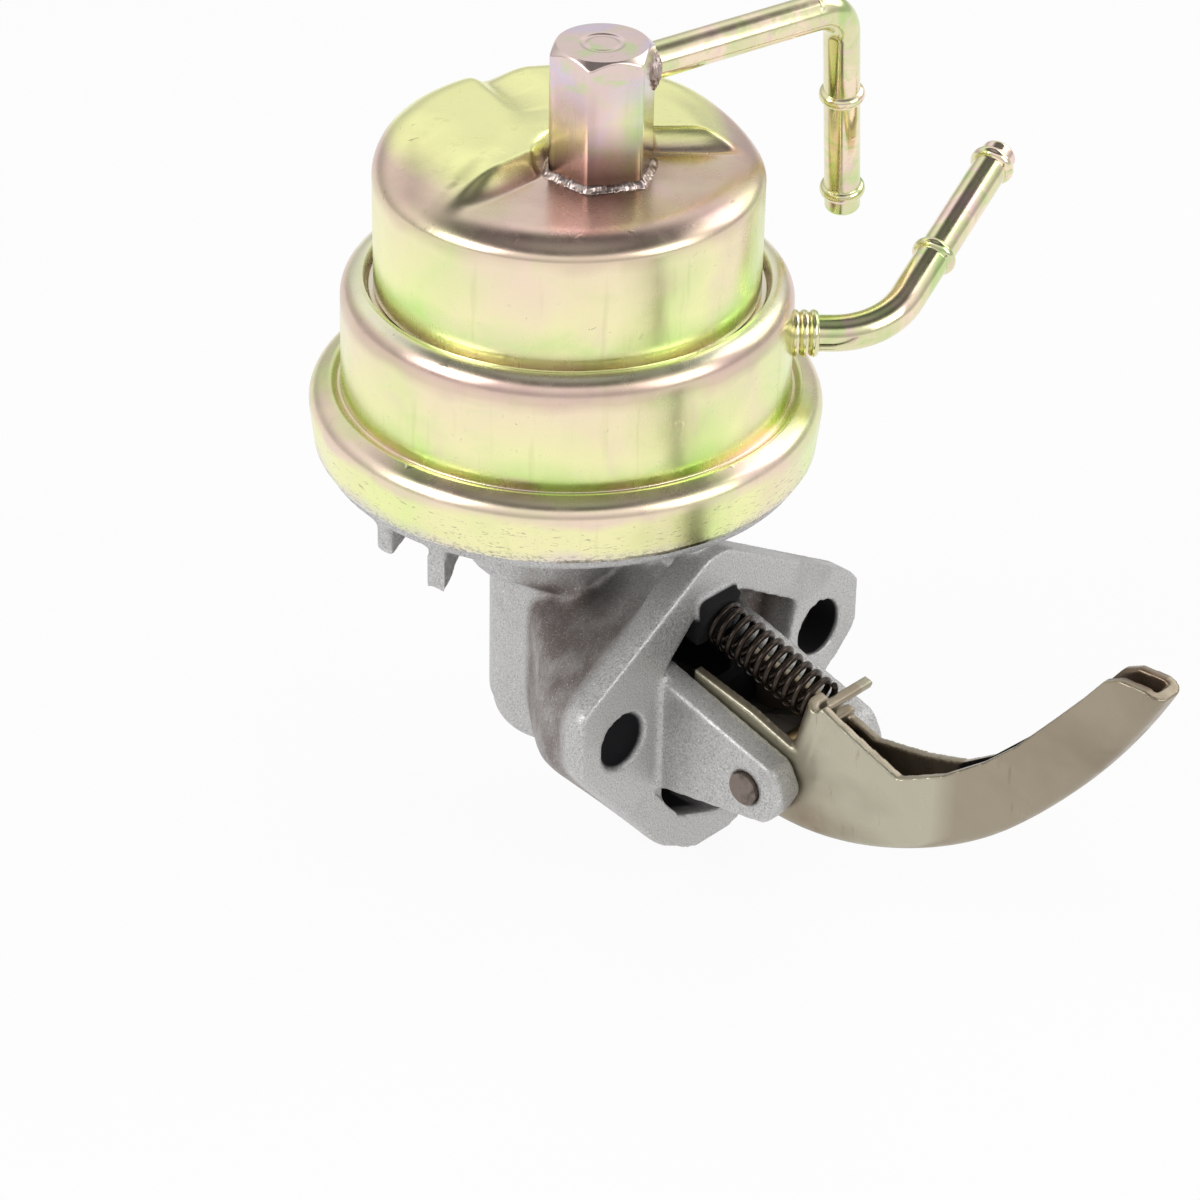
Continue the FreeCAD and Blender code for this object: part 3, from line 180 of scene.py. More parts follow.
class Shader(Nodes):
    """A material under construction."""

    def __init__(self, name: str) -> None:
        """Start from a bare material that holds one principled shader.

        Args:
            name: Name of the material.
        """
        self.material = bpy.data.materials.new(name)
        self.material.use_nodes = True
        super().__init__(self.material.node_tree)
        self.surface = self.tree.nodes["Principled BSDF"]
        self.place = self.node("TexCoord", {}).outputs["Object"]

    def mapped(self, **inputs: object) -> Socket:
        """Give the place, scaled and moved."""
        return self.node("Mapping", {**inputs, "Vector": self.place}).outputs["Vector"]

    def cloud(self, scale: float, detail: float = 2.0, rough: float = 0.5, stretch: Point = (1.0, 1.0, 1.0),
              warp: float = 0.0) -> Socket:
        """Give soft noise, about 0.3 to 0.7, by cells in a metre, octaves, their strength, stretch and warp."""
        return self.node("TexNoise", {"Scale": scale, "Detail": detail, "Roughness": rough, "Distortion": warp,
                                      "Vector": self.mapped(Scale=stretch)}).outputs["Fac"]

    def spread(self, source: Socket, low: float, high: float, to_low: float = 0.0, to_high: float = 1.0) -> Socket:
        """Map the range from low to high of a value onto another range, clamped."""
        return self.node("MapRange", {"Value": source, "From Min": low, "From Max": high, "To Min": to_low,
                                      "To Max": to_high}).outputs["Result"]

    def maths(self, kind: str, first: Socket | float, second: Socket | float = 0.0) -> Socket:
        """Combine two values by one of Blender's operations."""
        return self.node("Math", {0: first, 1: second}, operation=kind).outputs["Value"]

    def times(self, first: Socket, *others: Socket | float) -> Socket:
        """Multiply values."""
        return reduce(partial(self.maths, "MULTIPLY"), others, first)

    def most(self, first: Socket, *others: Socket) -> Socket:
        """Give the largest of some values."""
        return reduce(partial(self.maths, "MAXIMUM"), others, first)

    def rest(self, value: Socket) -> Socket:
        """Give what a value lacks of one."""
        return self.maths("SUBTRACT", 1.0, value)

    def mix(self, share: Socket, base: Socket | Colour, over: Socket | Colour) -> Socket:
        """Lay one colour over another.

        Args:
            share: How much of the upper colour shows.
            base: The lower colour.
            over: The upper colour.

        Returns:
            The mixed colour.
        """
        made = self.node("Mix", {"Factor": share}, data_type="RGBA")
        lower, upper = (number for number, socket in enumerate(made.inputs) if socket.type == "RGBA")
        self.fill(made, {lower: base, upper: over})
        return next(out for out in made.outputs if out.type == "RGBA")

    def bump(self, source: Socket, height: float, strength: float = 1.0, under: Socket | None = None) -> Socket:
        """Give the normal of a surface that a value of one raises by a height, on top of another normal."""
        return self.node("Bump", {"Distance": height * MM, "Strength": strength, "Height": source,
                                  "Normal": under}).outputs["Normal"]

    def along(self, axis: str) -> Socket:
        """Give the place along X, Y or Z in metres."""
        return self.node("SeparateXYZ", {"Vector": self.place}).outputs[axis]

    def slope(self, axis: str, low: float, high: float, to_low: float = 0.0, to_high: float = 1.0) -> Socket:
        """Give a value that changes between two places along an axis."""
        return self.spread(self.along(axis), low * MM, high * MM, to_low, to_high)

    def box(self, **sides: Point) -> Socket:
        """Give one between planes across some axes: the lower, the upper and the softness of their borders."""
        return self.times(*(self.slope(axis, *ends) for axis, (low, high, soft) in sides.items()
                            for ends in ((low - soft, low + soft), (high + soft, high - soft))))

    def near_line(self, spot: Point, across: Point, inner: float, outer: float) -> Socket:
        """Give one near a line, fading to zero.

        Args:
            spot: A point of the line.
            across: One for each axis that the line is across, zero for the line's own.
            inner: Distance up to which the value is one.
            outer: Distance from which the value is zero.

        Returns:
            The value.
        """
        back = [-value * flag * MM for value, flag in zip(spot, across)]
        away = self.mapped(Scale=across, Location=back)
        length = self.node("VectorMath", {0: away}, operation="LENGTH").outputs["Value"]
        return self.spread(length, outer * MM, inner * MM)

    def turn(self, spot: Vector) -> Socket:
        """Give the angle round an upright line through a spot as 0 to 1, starting behind it."""
        parts = self.node("SeparateXYZ", {"Vector": self.mapped(Location=-spot * MM)}).outputs
        return self.spread(self.maths("ARCTAN2", parts["Y"], parts["X"]), -math.pi, math.pi)

    def finish(self, colour: Socket, rough: Socket, metallic: float, normal: Socket) -> Material:
        """Wire the principled shader and give the material."""
        self.fill(self.surface, {"Base Color": colour, "Roughness": rough, "Metallic": metallic, "Normal": normal})
        return self.material


# Finishes

YELLOW: Colour = (0.93, 0.94, 0.47)
GREEN: Colour = (0.60, 0.86, 0.27)
CREAM: Colour = (0.94, 0.78, 0.58)
PINK: Colour = (0.86, 0.62, 0.60)
BLUSH: Colour = (0.66, 0.46, 0.42)
LILAC: Colour = (0.72, 0.62, 0.74)
OLIVE: Colour = (0.50, 0.54, 0.22)
BROWN: Colour = (0.34, 0.22, 0.17)
UPRIGHT: Point = (1.0, 1.0, 0.0)
SIDEWAYS: Point = (1.0, 0.0, 1.0)


@dataclass(frozen=True)
class PlatedFinish:
    """Yellow zinc plating: pale yellow with soft green and pink clouds, scuffs, streaks and a satin gloss."""

    name: str = "yellow_zinc"
    base: Colour = YELLOW
    second: Colour = CREAM
    third: Colour = GREEN
    fourth: Colour = PINK
    rough: float = 0.20
    cloud_scale: float = 34.0
    scuffed: Colour = (0.40, 0.36, 0.28)

    def clouds(self, s: Shader) -> Socket:
        """Lay soft clouds of the plating's colours over each other.

        Args:
            s: The material's shader.

        Returns:
            The clouded colour.
        """
        clouds = s.cloud(self.cloud_scale, 2.0, 0.5, (1.0, 1.0, 0.75), 0.8)
        hue = s.ramp(clouds, [(0.34, self.third), (0.44, self.base), (0.52, self.base), (0.60, self.second),
                              (0.72, self.fourth)])
        tint = s.spread(s.cloud(self.cloud_scale * 2.6, 2.0, 0.5, (1.0, 1.0, 1.6), 1.2), 0.52, 0.70, 0.0, 0.75)
        hue = s.mix(tint, hue, self.third)
        bloom = s.spread(s.cloud(self.cloud_scale * 3.7, 2.0, 0.5, (1.0, 1.4, 1.0), 0.5), 0.57, 0.72, 0.0, 0.7)
        return s.mix(bloom, hue, self.fourth)

    def place_tones(self, s: Shader, hue: Socket) -> Socket:
        """Add what depends on the place on the part; plain plating has nothing of it."""
        return hue

    def build(self) -> Material:
        """Build the material.

        Returns:
            The material.
        """
        s = Shader(self.name)
        hue = self.place_tones(s, self.clouds(s))
        streak = s.spread(s.cloud(420.0, 3.0, 0.6, (1.0, 1.0, 0.10), 0.3), 0.60, 0.72, 0.0, 0.17)
        scuff = s.spread(s.cloud(700.0, 4.0, 0.75, (1.0, 0.5, 1.0), 1.5), 0.66, 0.71, 0.0, 0.6)
        hue = s.mix(scuff, s.mix(streak, hue, OLIVE), self.scuffed)
        gloss = s.spread(s.cloud(160.0, 4.0, 0.6, (1.0, 1.0, 0.4)), 0.35, 0.7, self.rough - 0.04, self.rough + 0.07)
        wave = s.bump(s.cloud(45.0, 1.0), 0.3, 0.5)
        grain = s.bump(s.cloud(2600.0, 3.0, 0.6), 0.012, 0.4, wave)
        dings = s.bump(s.spread(s.cloud(260.0), 0.70, 0.78), 0.06, 0.6, grain)
        return s.finish(hue, gloss, 1.0, dings)


@dataclass(frozen=True)
class CanPlating(PlatedFinish):
    """Plating of the cans: tones round the walls and up the shoulders that also paint in reflections, a painted dark
    reflection band on the shoulders, a worn rolled edge, and a brown foot round the hexagon that is heat tint with a
    painted reflection.
    """

    rough: float = 0.25
    low: float = 34.3
    high: float = 88.2
    groove_r: float = 34.6
    ledge_r: float = 35.6
    # Tones round the axis: plating hues that also paint in the walls' reflections, dark olive at both edges and on
    # the right, cream at the front highlight.
    round_tones_with_painted_reflection: tuple[tuple[float, Colour], ...] = (
        (0.00, YELLOW), (0.13, OLIVE), (0.19, YELLOW), (0.25, GREEN), (0.30, CREAM), (0.41, CREAM),
        (0.442, OLIVE), (0.462, GREEN), (0.495, YELLOW), (0.52, PINK), (0.55, GREEN), (0.62, OLIVE),
        (0.76, YELLOW), (0.87, CREAM), (1.00, YELLOW))
    # Tones up the can: plating hues that also paint in the shoulders' reflections, pink highlights and darker blush
    # bands.
    rise_tones_with_painted_reflection: tuple[tuple[float, Colour], ...] = (
        (0.00, LILAC), (0.05, YELLOW), (0.12, YELLOW), (0.15, PINK), (0.19, PINK), (0.23, GREEN), (0.30, YELLOW),
        (0.44, CREAM), (0.48, BLUSH), (0.52, PINK), (0.55, YELLOW), (0.60, GREEN), (0.66, YELLOW), (0.84, CREAM),
        (0.88, BLUSH), (0.95, PINK), (1.00, YELLOW))
    pad: Colour = (0.98, 0.99, 0.46)
    groove: Colour = (0.84, 0.80, 0.70)
    worn: Colour = (0.30, 0.29, 0.26)
    dash: Colour = (0.36, 0.32, 0.25)

    def place_tones(self, s: Shader, hue: Socket) -> Socket:
        """Add the tones round the wall and up the shoulders, which also paint in reflections, the painted dark band
        on the shoulders, the wear at the rolled edge, and the heat tint with a painted reflection round the braze.

        Args:
            s: The material's shader.
            hue: The clouded colour.

        Returns:
            The toned colour.
        """
        # Painted reflection round the walls, from the ramp round the axis.
        sway = s.spread(s.cloud(55.0), 0.3, 0.7, -0.035, 0.035)
        walls = s.ramp(s.maths("ADD", s.turn(AXIS), sway), self.round_tones_with_painted_reflection)
        hue = s.mix(s.spread(s.cloud(24.0), 0.35, 0.6, 0.45, 0.75), hue, walls)
        # Painted reflection up the cans, from the ramp by height: pink highlights and blush bands on the shoulders.
        sway = s.spread(s.cloud(90.0), 0.3, 0.7, -0.02, 0.02)
        rise = s.ramp(s.maths("ADD", s.slope("Z", self.low, self.high), sway), self.rise_tones_with_painted_reflection)
        hue = s.mix(s.spread(s.cloud(38.0), 0.35, 0.65, 0.3, 0.65), hue, rise)
        inner = s.near_line(AXIS, UPRIGHT, self.groove_r, self.ledge_r)
        hue = s.mix(s.times(s.box(Z=(59.8, 65.0, 1.2)), inner, 0.6), hue, self.groove)
        # Painted dark reflection band in blush on the middle can's shoulder and on the upper can's shoulder.
        ledge_painted_dark_band = s.times(s.box(Z=(60.6, 65.0, 1.2)), s.rest(inner))
        shoulder = s.most(s.box(Z=(82.6, 86.2, 1.6)), ledge_painted_dark_band)
        hue = s.mix(s.times(shoulder, s.spread(s.cloud(60.0, 3.0), 0.3, 0.6, 0.3, 0.8)), hue, BLUSH)
        hue = s.mix(s.times(s.box(Z=(86.2, 120.0, 0.8)), 0.85), hue, self.pad)
        # Brown round the hexagon's foot: heat tint of the brazing together with a painted reflection of the hexagon's
        # brown foot.
        heat = s.times(s.near_line(HEX_AXIS, UPRIGHT, 8.2, 12.5), s.box(Z=(83.0, 86.4, 0.5)),
                       s.spread(s.cloud(120.0, 3.0), 0.35, 0.6, 0.05, 0.45))
        hue = s.mix(heat, hue, BROWN)
        speck = s.spread(s.cloud(1100.0, 3.0, 0.65, (1.0, 1.0, 1.8), 0.6), 0.50, 0.57, 0.0, 0.85)
        hue = s.mix(s.times(s.slope("Z", self.low + 2.1, self.low + 0.3), speck), hue, self.worn)
        dash = s.spread(s.cloud(520.0, 3.0, 0.7, (1.0, 1.0, 5.0), 0.4), 0.60, 0.66, 0.0, 0.7)
        return s.mix(s.times(s.box(Z=(34.0, 41.0, 1.0)), dash), hue, self.dash)


@dataclass(frozen=True)
class HexPlating(PlatedFinish):
    """Plating of the hexagon: pink and lilac faces with green edges, with each face's light and shade painted into
    its tone, browned by the brazing at the foot.
    """

    foot: float = 86.8
    fade: float = 96.0
    scorch: Colour = (0.15, 0.095, 0.08)
    # Tones round the axis paint in each face's light and shade: blush on the left face, pink to cream to green at the
    # front, olive on the right.
    round_tones_with_painted_reflection: tuple[tuple[float, Colour], ...] = (
        (0.18, PINK), (0.20, BLUSH), (0.345, BLUSH), (0.365, PINK), (0.42, CREAM), (0.50, GREEN), (0.52, OLIVE),
        (0.68, OLIVE), (0.70, PINK))

    def place_tones(self, s: Shader, hue: Socket) -> Socket:
        """Add the tones of the faces, which paint in each face's light and shade, and the brown of the brazing heat.

        Args:
            s: The material's shader.
            hue: The clouded colour.

        Returns:
            The toned colour.
        """
        # Painted light and shade of the faces, stronger towards the foot.
        faces = s.mix(s.slope("Z", 103.0, 98.0, 0.0, 0.62), hue, s.ramp(s.turn(HEX_AXIS), self.round_tones_with_painted_reflection))
        hue = s.mix(s.spread(s.cloud(60.0), 0.3, 0.55, 0.55, 1.0), hue, faces)
        return s.mix(s.slope("Z", self.fade, self.foot, 0.0, 0.95), hue, self.scorch)


@dataclass(frozen=True)
class CastFinish:
    """Sand-cast alloy: light grey with fine sparkles, browner on the neck, and painted black shade in its holes,
    window and channel and under the drum.
    """

    name: str = Slot.CAST.value
    light: Colour = (0.58, 0.575, 0.565)
    dark: Colour = (0.34, 0.335, 0.33)
    spark: Colour = (0.95, 0.94, 0.93)
    brown: Colour = (0.205, 0.17, 0.157)
    brown_dark: Colour = (0.17, 0.14, 0.13)
    brown_spark: Colour = (0.80, 0.70, 0.66)
    stained: Colour = (0.30, 0.28, 0.26)
    # Black of the painted shade.
    black: Colour = (0.012, 0.012, 0.014)
    hole_half: float = 24.0
    hole_r: float = 5.0
    channel_half: float = 8.4

    def painted_shade_in_openings(self, s: Shader) -> Socket:
        """Give one where shade is painted black: in the bolt holes, the window and the lever's channel, and on the
        spring's seat.

        Args:
            s: The material's shader.

        Returns:
            The value.
        """
        holes = [s.near_line((0.0, side * self.hole_half, 0.0), (0.0, 1.0, 1.0), self.hole_r + 0.15,
                             self.hole_r + 0.4) for side in (-1.0, 1.0)]
        bores = s.times(s.most(*holes), s.box(X=(-6.6, -0.5, 0.4)))
        channel = s.box(Y=(AXIS.y - self.channel_half, AXIS.y + self.channel_half, 0.4), Z=(-17.6, 12.6, 0.3),
                        X=(AXIS.x, 0.0, 0.3))
        window = s.box(Y=(-15.5, 7.0, 0.8), Z=(-24.6, 15.0, 0.8), X=(-9.4, 0.0, 0.3))
        inside = s.times(s.most(channel, window), s.slope("X", -0.6, -3.4))
        seat = s.box(Y=(-7.1, 2.3, 0.3), Z=(8.0, 16.0, 0.3), X=(-12.0, 2.6, 0.3))
        lug = s.times(s.box(X=(0.35, 2.6, 0.15), Z=(7.0, 20.0, 0.3)), s.box(Y=(-8.0, 3.0, 0.3)))
        return s.most(bores, inside, s.times(s.most(seat, lug), 0.97))

    def build(self) -> Material:
        """Build the material.

        Returns:
            The material.
        """
        s = Shader(self.name)
        grain = s.cloud(3400.0, 3.0, 0.7)
        colour = s.ramp(grain, [(0.36, self.dark), (0.50, self.light), (0.62, self.light), (0.70, self.spark)])
        tower = s.near_line(AXIS, UPRIGHT, 12.7, 14.0)
        neck = s.times(s.box(X=(-29.5, -5.0, 1.6), Z=(-17.0, 17.0, 3.0)), s.rest(tower),
                       s.spread(s.cloud(160.0, 3.0, 0.6), 0.30, 0.60, 0.55, 1.0))
        brown = s.ramp(grain, [(0.40, self.brown_dark), (0.52, self.brown), (0.62, self.brown),
                               (0.68, self.brown_spark)])
        stain = s.spread(s.cloud(60.0, 3.0, 0.6), 0.55, 0.75, 0.0, 0.45)
        colour = s.mix(stain, s.mix(neck, colour, brown), self.stained)
        edges = s.times(s.spread(s.node("NewGeometry", {}).outputs["Pointiness"], 0.53, 0.60, 0.0, 0.75),
                        s.spread(s.cloud(1900.0), 0.38, 0.60, 0.25, 1.0))
        colour = s.mix(edges, colour, self.spark)
        # Painted shade: the holes, window, channel, spring's seat and lug, and the painted shadow under the drum, go
        # black and rough.
        inside = self.painted_shade_in_openings(s)
        shadow = s.times(s.near_line((-15.5, -9.0, 11.0), (1.0, 1.0, 1.0), 3.0, 7.5), 0.9)
        colour = s.mix(s.most(inside, shadow), colour, self.black)
        rough = s.most(s.spread(s.cloud(1500.0), 0.3, 0.7, 0.34, 0.60), inside)
        bump = s.bump(grain, 0.055, 0.8, s.bump(s.cloud(500.0, 3.0, 0.6), 0.08, 0.5))
        return s.finish(colour, rough, 0.68, bump)


@dataclass(frozen=True)
class ArmFinish:
    """Pressed steel of the rocker arm: khaki outside with scratches and brown cut edges, and painted shade on its
    inner faces, black turning brown towards the toe.
    """

    name: str = Slot.ARM.value
    khaki: Colour = (0.50, 0.47, 0.36)
    dull: Colour = (0.36, 0.33, 0.245)
    brown: Colour = (0.25, 0.18, 0.125)
    # Black of the painted shade inside the arm.
    black: Colour = (0.010, 0.010, 0.010)
    pin_half: float = 7.3
    mid_half: float = 4.5
    tip_half: float = 3.8
    sheet: float = 1.8
    belly: tuple[float, float, float] = (21.5, 47.7, 60.0)
    toe: tuple[float, float, float] = (-23.6, 94.5, 125.0)
    toe_x: float = 63.2

    def above_floor(self, s: Shader) -> Socket:
        """Give one above the sheet of the arm's curved underside.

        Args:
            s: The material's shader.

        Returns:
            The value.
        """
        right = s.box(X=(self.toe_x, 200.0, 0.2))
        belly, toe = (s.near_line((x, 0.0, z), SIDEWAYS, radius - self.sheet - 0.5, radius - self.sheet)
                      for x, z, radius in (self.belly, self.toe))
        return s.maths("ADD", s.times(belly, s.rest(right)), s.times(toe, right))

    def build(self) -> Material:
        """Build the material.

        Returns:
            The material.
        """
        s = Shader(self.name)
        colour = s.ramp(s.cloud(55.0, 3.0, 0.55, (0.5, 1.0, 1.0), 0.4), [(0.34, self.dull), (0.56, self.khaki)])
        scratch = s.spread(s.cloud(480.0, 3.0, 0.6, (1.0, 1.0, 0.2)), 0.64, 0.72, 0.0, 0.45)
        stain = s.times(s.near_line((27.0, 0.0, -11.0), SIDEWAYS, 2.0, 10.0),
                        s.spread(s.cloud(180.0, 3.0), 0.35, 0.6, 0.2, 0.75))
        half = s.maths("ADD", s.slope("X", 26.0, 47.0, self.pin_half * MM, (self.mid_half + 0.2) * MM),
                       s.slope("X", 50.0, 80.0, 0.0, (self.tip_half - self.mid_half) * MM))
        off = s.maths("ABSOLUTE", s.maths("SUBTRACT", s.along("Y"), AXIS.y * MM))
        depth = s.maths("SUBTRACT", half, off)
        edge = s.spread(depth, 0.15 * MM, 0.5 * MM, 0.0, 0.55)
        # Painted shade: the inner faces of the pressed sheet, except at the spring's tab, first go brown.
        inside = s.times(s.spread(depth, (self.sheet - 0.3) * MM, (self.sheet + 0.1) * MM),
                         s.rest(s.box(X=(21.6, 27.0, 0.3), Z=(2.0, 20.0, 0.5))), self.above_floor(s))
        for share in (scratch, stain, edge, inside):
            colour = s.mix(share, colour, self.brown)
        # The painted shade then goes black, fading out towards the toe.
        inside = s.times(inside, s.slope("X", 72.0, 84.0, 1.0, 0.0))
        colour = s.mix(inside, colour, self.black)
        rough = s.most(s.spread(s.cloud(300.0, 3.0), 0.3, 0.7, 0.26, 0.42), inside)
        return s.finish(colour, rough, 0.8, s.bump(s.cloud(1500.0, 2.0, 0.5), 0.006, 0.3))


@dataclass(frozen=True)
class SteelFinish:
    """Sheet or turned steel with a tone, darker streaks and fine scratches."""

    name: str
    tone: Colour
    dark: Colour
    rough: float = 0.34
    metallic: float = 0.85
    streak: Point = (0.3, 1.0, 1.0)

    def build(self) -> Material:
        """Build the material.

        Returns:
            The material.
        """
        s = Shader(self.name)
        colour = s.ramp(s.cloud(70.0, 3.0, 0.6, self.streak, 0.4), [(0.30, self.dark), (0.52, self.tone)])
        scratch = s.spread(s.cloud(900.0, 3.0, 0.7, self.streak), 0.60, 0.70, 0.0, 0.6)
        rough = s.spread(s.cloud(300.0, 3.0), 0.3, 0.7, self.rough - 0.07, self.rough + 0.12)
        bump = s.bump(s.cloud(1800.0, 3.0, 0.6), 0.02, 0.5)
        return s.finish(s.mix(scratch, colour, self.dark), rough, self.metallic, bump)


@dataclass(frozen=True)
class RubberFinish:
    """Matt black rubber with a faint bloom."""

    name: str = Slot.RUBBER.value
    black: Colour = (0.025, 0.025, 0.026)
    bloom: Colour = (0.075, 0.072, 0.07)

    def build(self) -> Material:
        """Build the material.

        Returns:
            The material.
        """
        s = Shader(self.name)
        colour = s.ramp(s.cloud(160.0, 4.0, 0.6), [(0.35, self.black), (0.75, self.bloom)])
        rough = s.spread(s.cloud(500.0), 0.3, 0.7, 0.55, 0.75)
        return s.finish(colour, rough, 0.0, s.bump(s.cloud(2500.0), 0.02, 0.4))


class Palette:
    """All finishes, built once and handed out by the record's slot."""

    def __init__(self) -> None:
        """Build each finish."""
        hexagon = HexPlating("yellow_zinc_hex", (0.80, 0.64, 0.60), LILAC, (0.60, 0.74, 0.36), PINK, 0.22, 60.0)
        pipe = PlatedFinish("yellow_zinc_pipe", (0.78, 0.74, 0.46), CREAM, (0.58, 0.72, 0.32), PINK, 0.15, 80.0)
        self.slots = {Slot.CAN.value: CanPlating().build(), Slot.HEX.value: hexagon.build(),
                      Slot.PIPE.value: pipe.build()}
        for finish in (
                CastFinish(), ArmFinish(), RubberFinish(),
                SteelFinish(Slot.SPRING.value, (0.055, 0.040, 0.031), (0.020, 0.015, 0.012), 0.25),
                SteelFinish("pin_steel", (0.22, 0.18, 0.155), (0.09, 0.07, 0.06), 0.38, 0.85, (6.0, 6.0, 6.0)),
                SteelFinish("lever_steel", (0.16, 0.14, 0.12), (0.05, 0.045, 0.04), 0.40),
                SteelFinish("plate_steel", (0.55, 0.55, 0.55), (0.36, 0.35, 0.34), 0.28),
                SteelFinish(Slot.BRAZE.value, (0.58, 0.48, 0.45), (0.20, 0.14, 0.12), 0.28, 1.0, (3.0, 3.0, 3.0)),
                SteelFinish("valve_brass", (0.68, 0.50, 0.24), (0.42, 0.30, 0.14), 0.30, 1.0),
                SteelFinish("bush_brass", (0.60, 0.44, 0.22), (0.35, 0.25, 0.13), 0.34, 1.0),
                SteelFinish("valve_alloy", (0.60, 0.60, 0.60), (0.42, 0.42, 0.42), 0.36)):
            self.slots[finish.name] = finish.build()

    def dress(self, thing: Object, slot: str) -> None:
        """Give an object the finish of one slot alone."""
        thing.data.materials.clear()
        thing.data.materials.append(self.slots[slot])

    def stand_in(self, piece: Object, node: str, slot: Slot) -> None:
        """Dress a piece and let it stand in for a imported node.

        Args:
            piece: The piece.
            node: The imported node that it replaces.
            slot: The slot whose finish it takes.
        """
        self.dress(piece, slot.value)
        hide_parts(node)


# Mesh helpers

def polar(r: float, a: float, z: float = 0.0) -> Vector:
    """Give the point at a radius, an angle and a height."""
    return Vector((r * math.cos(a), r * math.sin(a), z))


def heading(azimuth: float, rise: float = 0.0) -> Vector:
    """Give the direction of an azimuth and a rise in degrees."""
    e = math.radians(rise)
    return polar(math.cos(e), math.radians(azimuth), math.sin(e))


def facing(spot: Vector, out: Vector) -> Matrix:
    """Give the place at a spot whose Z points in a direction."""
    return Matrix.Translation(spot) @ UP.rotation_difference(out).to_matrix().to_4x4()


def step_up(value: float, low: float, high: float) -> float:
    """Change smoothly from zero at one value to one at another, which may be the smaller one."""
    t = min(1.0, max(0.0, (value - low) / (high - low)))
    return t * t * (3 - 2 * t)


def soft_min(first: float, second: float, blend: float) -> float:
    """Give the smaller of two values, with a rounded change-over."""
    h = max(0.0, min(1.0, 0.5 + 0.5 * (second - first) / blend))
    return second * (1 - h) + first * h - blend * h * (1 - h)


def rounded(corners: Sequence[Point], steps: int) -> Outline:
    """Turn an outline with corner radii into points with true arcs.

    Args:
        corners: Radius from the axis, height and rounding of each corner.
        steps: Steps of each arc.

    Returns:
        The outline's points.
    """
    points = []
    for index, (r, z, bend) in enumerate(corners):
        if bend <= 0.0 or index in (0, len(corners) - 1):
            points.append((r, z))
            continue
        here = Vector((r, z))
        to_last, to_next = ((Vector(corners[index + step][:2]) - here).normalized() for step in (-1, 1))
        half = to_last.angle(to_next) / 2
        centre = here + (to_last + to_next).normalized() * bend / math.sin(half)
        start = here + to_last * bend / math.tan(half) - centre
        side = 1.0 if start.cross(here - centre) > 0 else -1.0
        for step in range(steps + 1):
            angle = side * (math.pi - 2 * half) * step / steps
            spoke = Vector((start.x * math.cos(angle) - start.y * math.sin(angle),
                            start.x * math.sin(angle) + start.y * math.cos(angle)))
            points.append(tuple(centre + spoke))
    return points


def divided(points: Outline, longest: float) -> Outline:
    """Add points so that no run is longer than a given length.

    Args:
        points: An outline.
        longest: The longest run.

    Returns:
        The denser outline.
    """
    dense = [points[0]]
    for (r0, z0), (r1, z1) in zip(points, points[1:]):
        parts = max(1, math.ceil(math.hypot(r1 - r0, z1 - z0) / longest))
        dense += [(r0 + (r1 - r0) * k / parts, z0 + (z1 - z0) * k / parts) for k in range(1, parts + 1)]
    return dense


def bands(rows: int, sides: int) -> list[list[int]]:
    """Give the faces between rows of points that each go round once."""
    return [[row * sides + k, row * sides + (k + 1) % sides, (row + 1) * sides + (k + 1) % sides,
             (row + 1) * sides + k] for row in range(rows - 1) for k in range(sides)]


def cap(row: int, sides: int) -> list[int]:
    """Give the face that closes one row of points."""
    return [row * sides + k for k in range(sides)]


def turned(outline: Outline, sides: int, place: Matrix,
           shape: Callable[[float, float, float], Vector] | None = None) -> Mesh:
    """Turn an outline about Z and place it.

    Args:
        outline: Radius and height of each point; closed if its ends meet.
        sides: Number of sides round the axis.
        place: Where the turned piece goes.
        shape: Gives a point from radius, height and angle, where it isn't plainly turned.

    Returns:
        Points and faces.
    """
    points = []
    for r, z in outline:
        for k in range(sides):
            a = 2 * math.pi * k / sides
            points.append(place @ (shape(r, z, a) if shape else polar(r, a, z)))
    return points, bands(len(outline), sides)


def swept(path: Sequence[Vector], radii: Sequence[float], sides: int, bore: float = 0.0) -> Mesh:
    """Sweep a round section along a path, as a rod or as a tube with open ends.

    Args:
        path: Points of the middle line.
        radii: Outer radius at each point.
        sides: Sides of the section.
        bore: Radius of the bore, or zero for a rod.

    Returns:
        Points and faces.
    """
    across = (path[1] - path[0]).orthogonal().normalized()
    outer, inner = [], []
    for index, (point, radius) in enumerate(zip(path, radii)):
        ahead = (path[min(index + 1, len(path) - 1)] - path[max(index - 1, 0)]).normalized()
        across = (across - ahead * across.dot(ahead)).normalized()
        second = ahead.cross(across)
        for ring, size in ((outer, radius), (inner, bore)):
            ring.append([point + (across * math.cos(a) + second * math.sin(a)) * size
                         for a in (2 * math.pi * k / sides for k in range(sides))])
    rings = outer + inner[::-1] + [outer[0]] if bore > 0.0 else outer
    faces = bands(len(rings), sides)
    if bore <= 0.0:
        faces += [cap(0, sides), cap(len(rings) - 1, sides)[::-1]]
    return [point for ring in rings for point in ring], faces


def linked(name: str, data: bpy.types.ID) -> Object:
    """Make an object and put it in the scene.

    Args:
        name: Name of the object.
        data: What it shows.

    Returns:
        The new object.
    """
    thing = bpy.data.objects.new(name, data)
    bpy.context.scene.collection.objects.link(thing)
    return thing


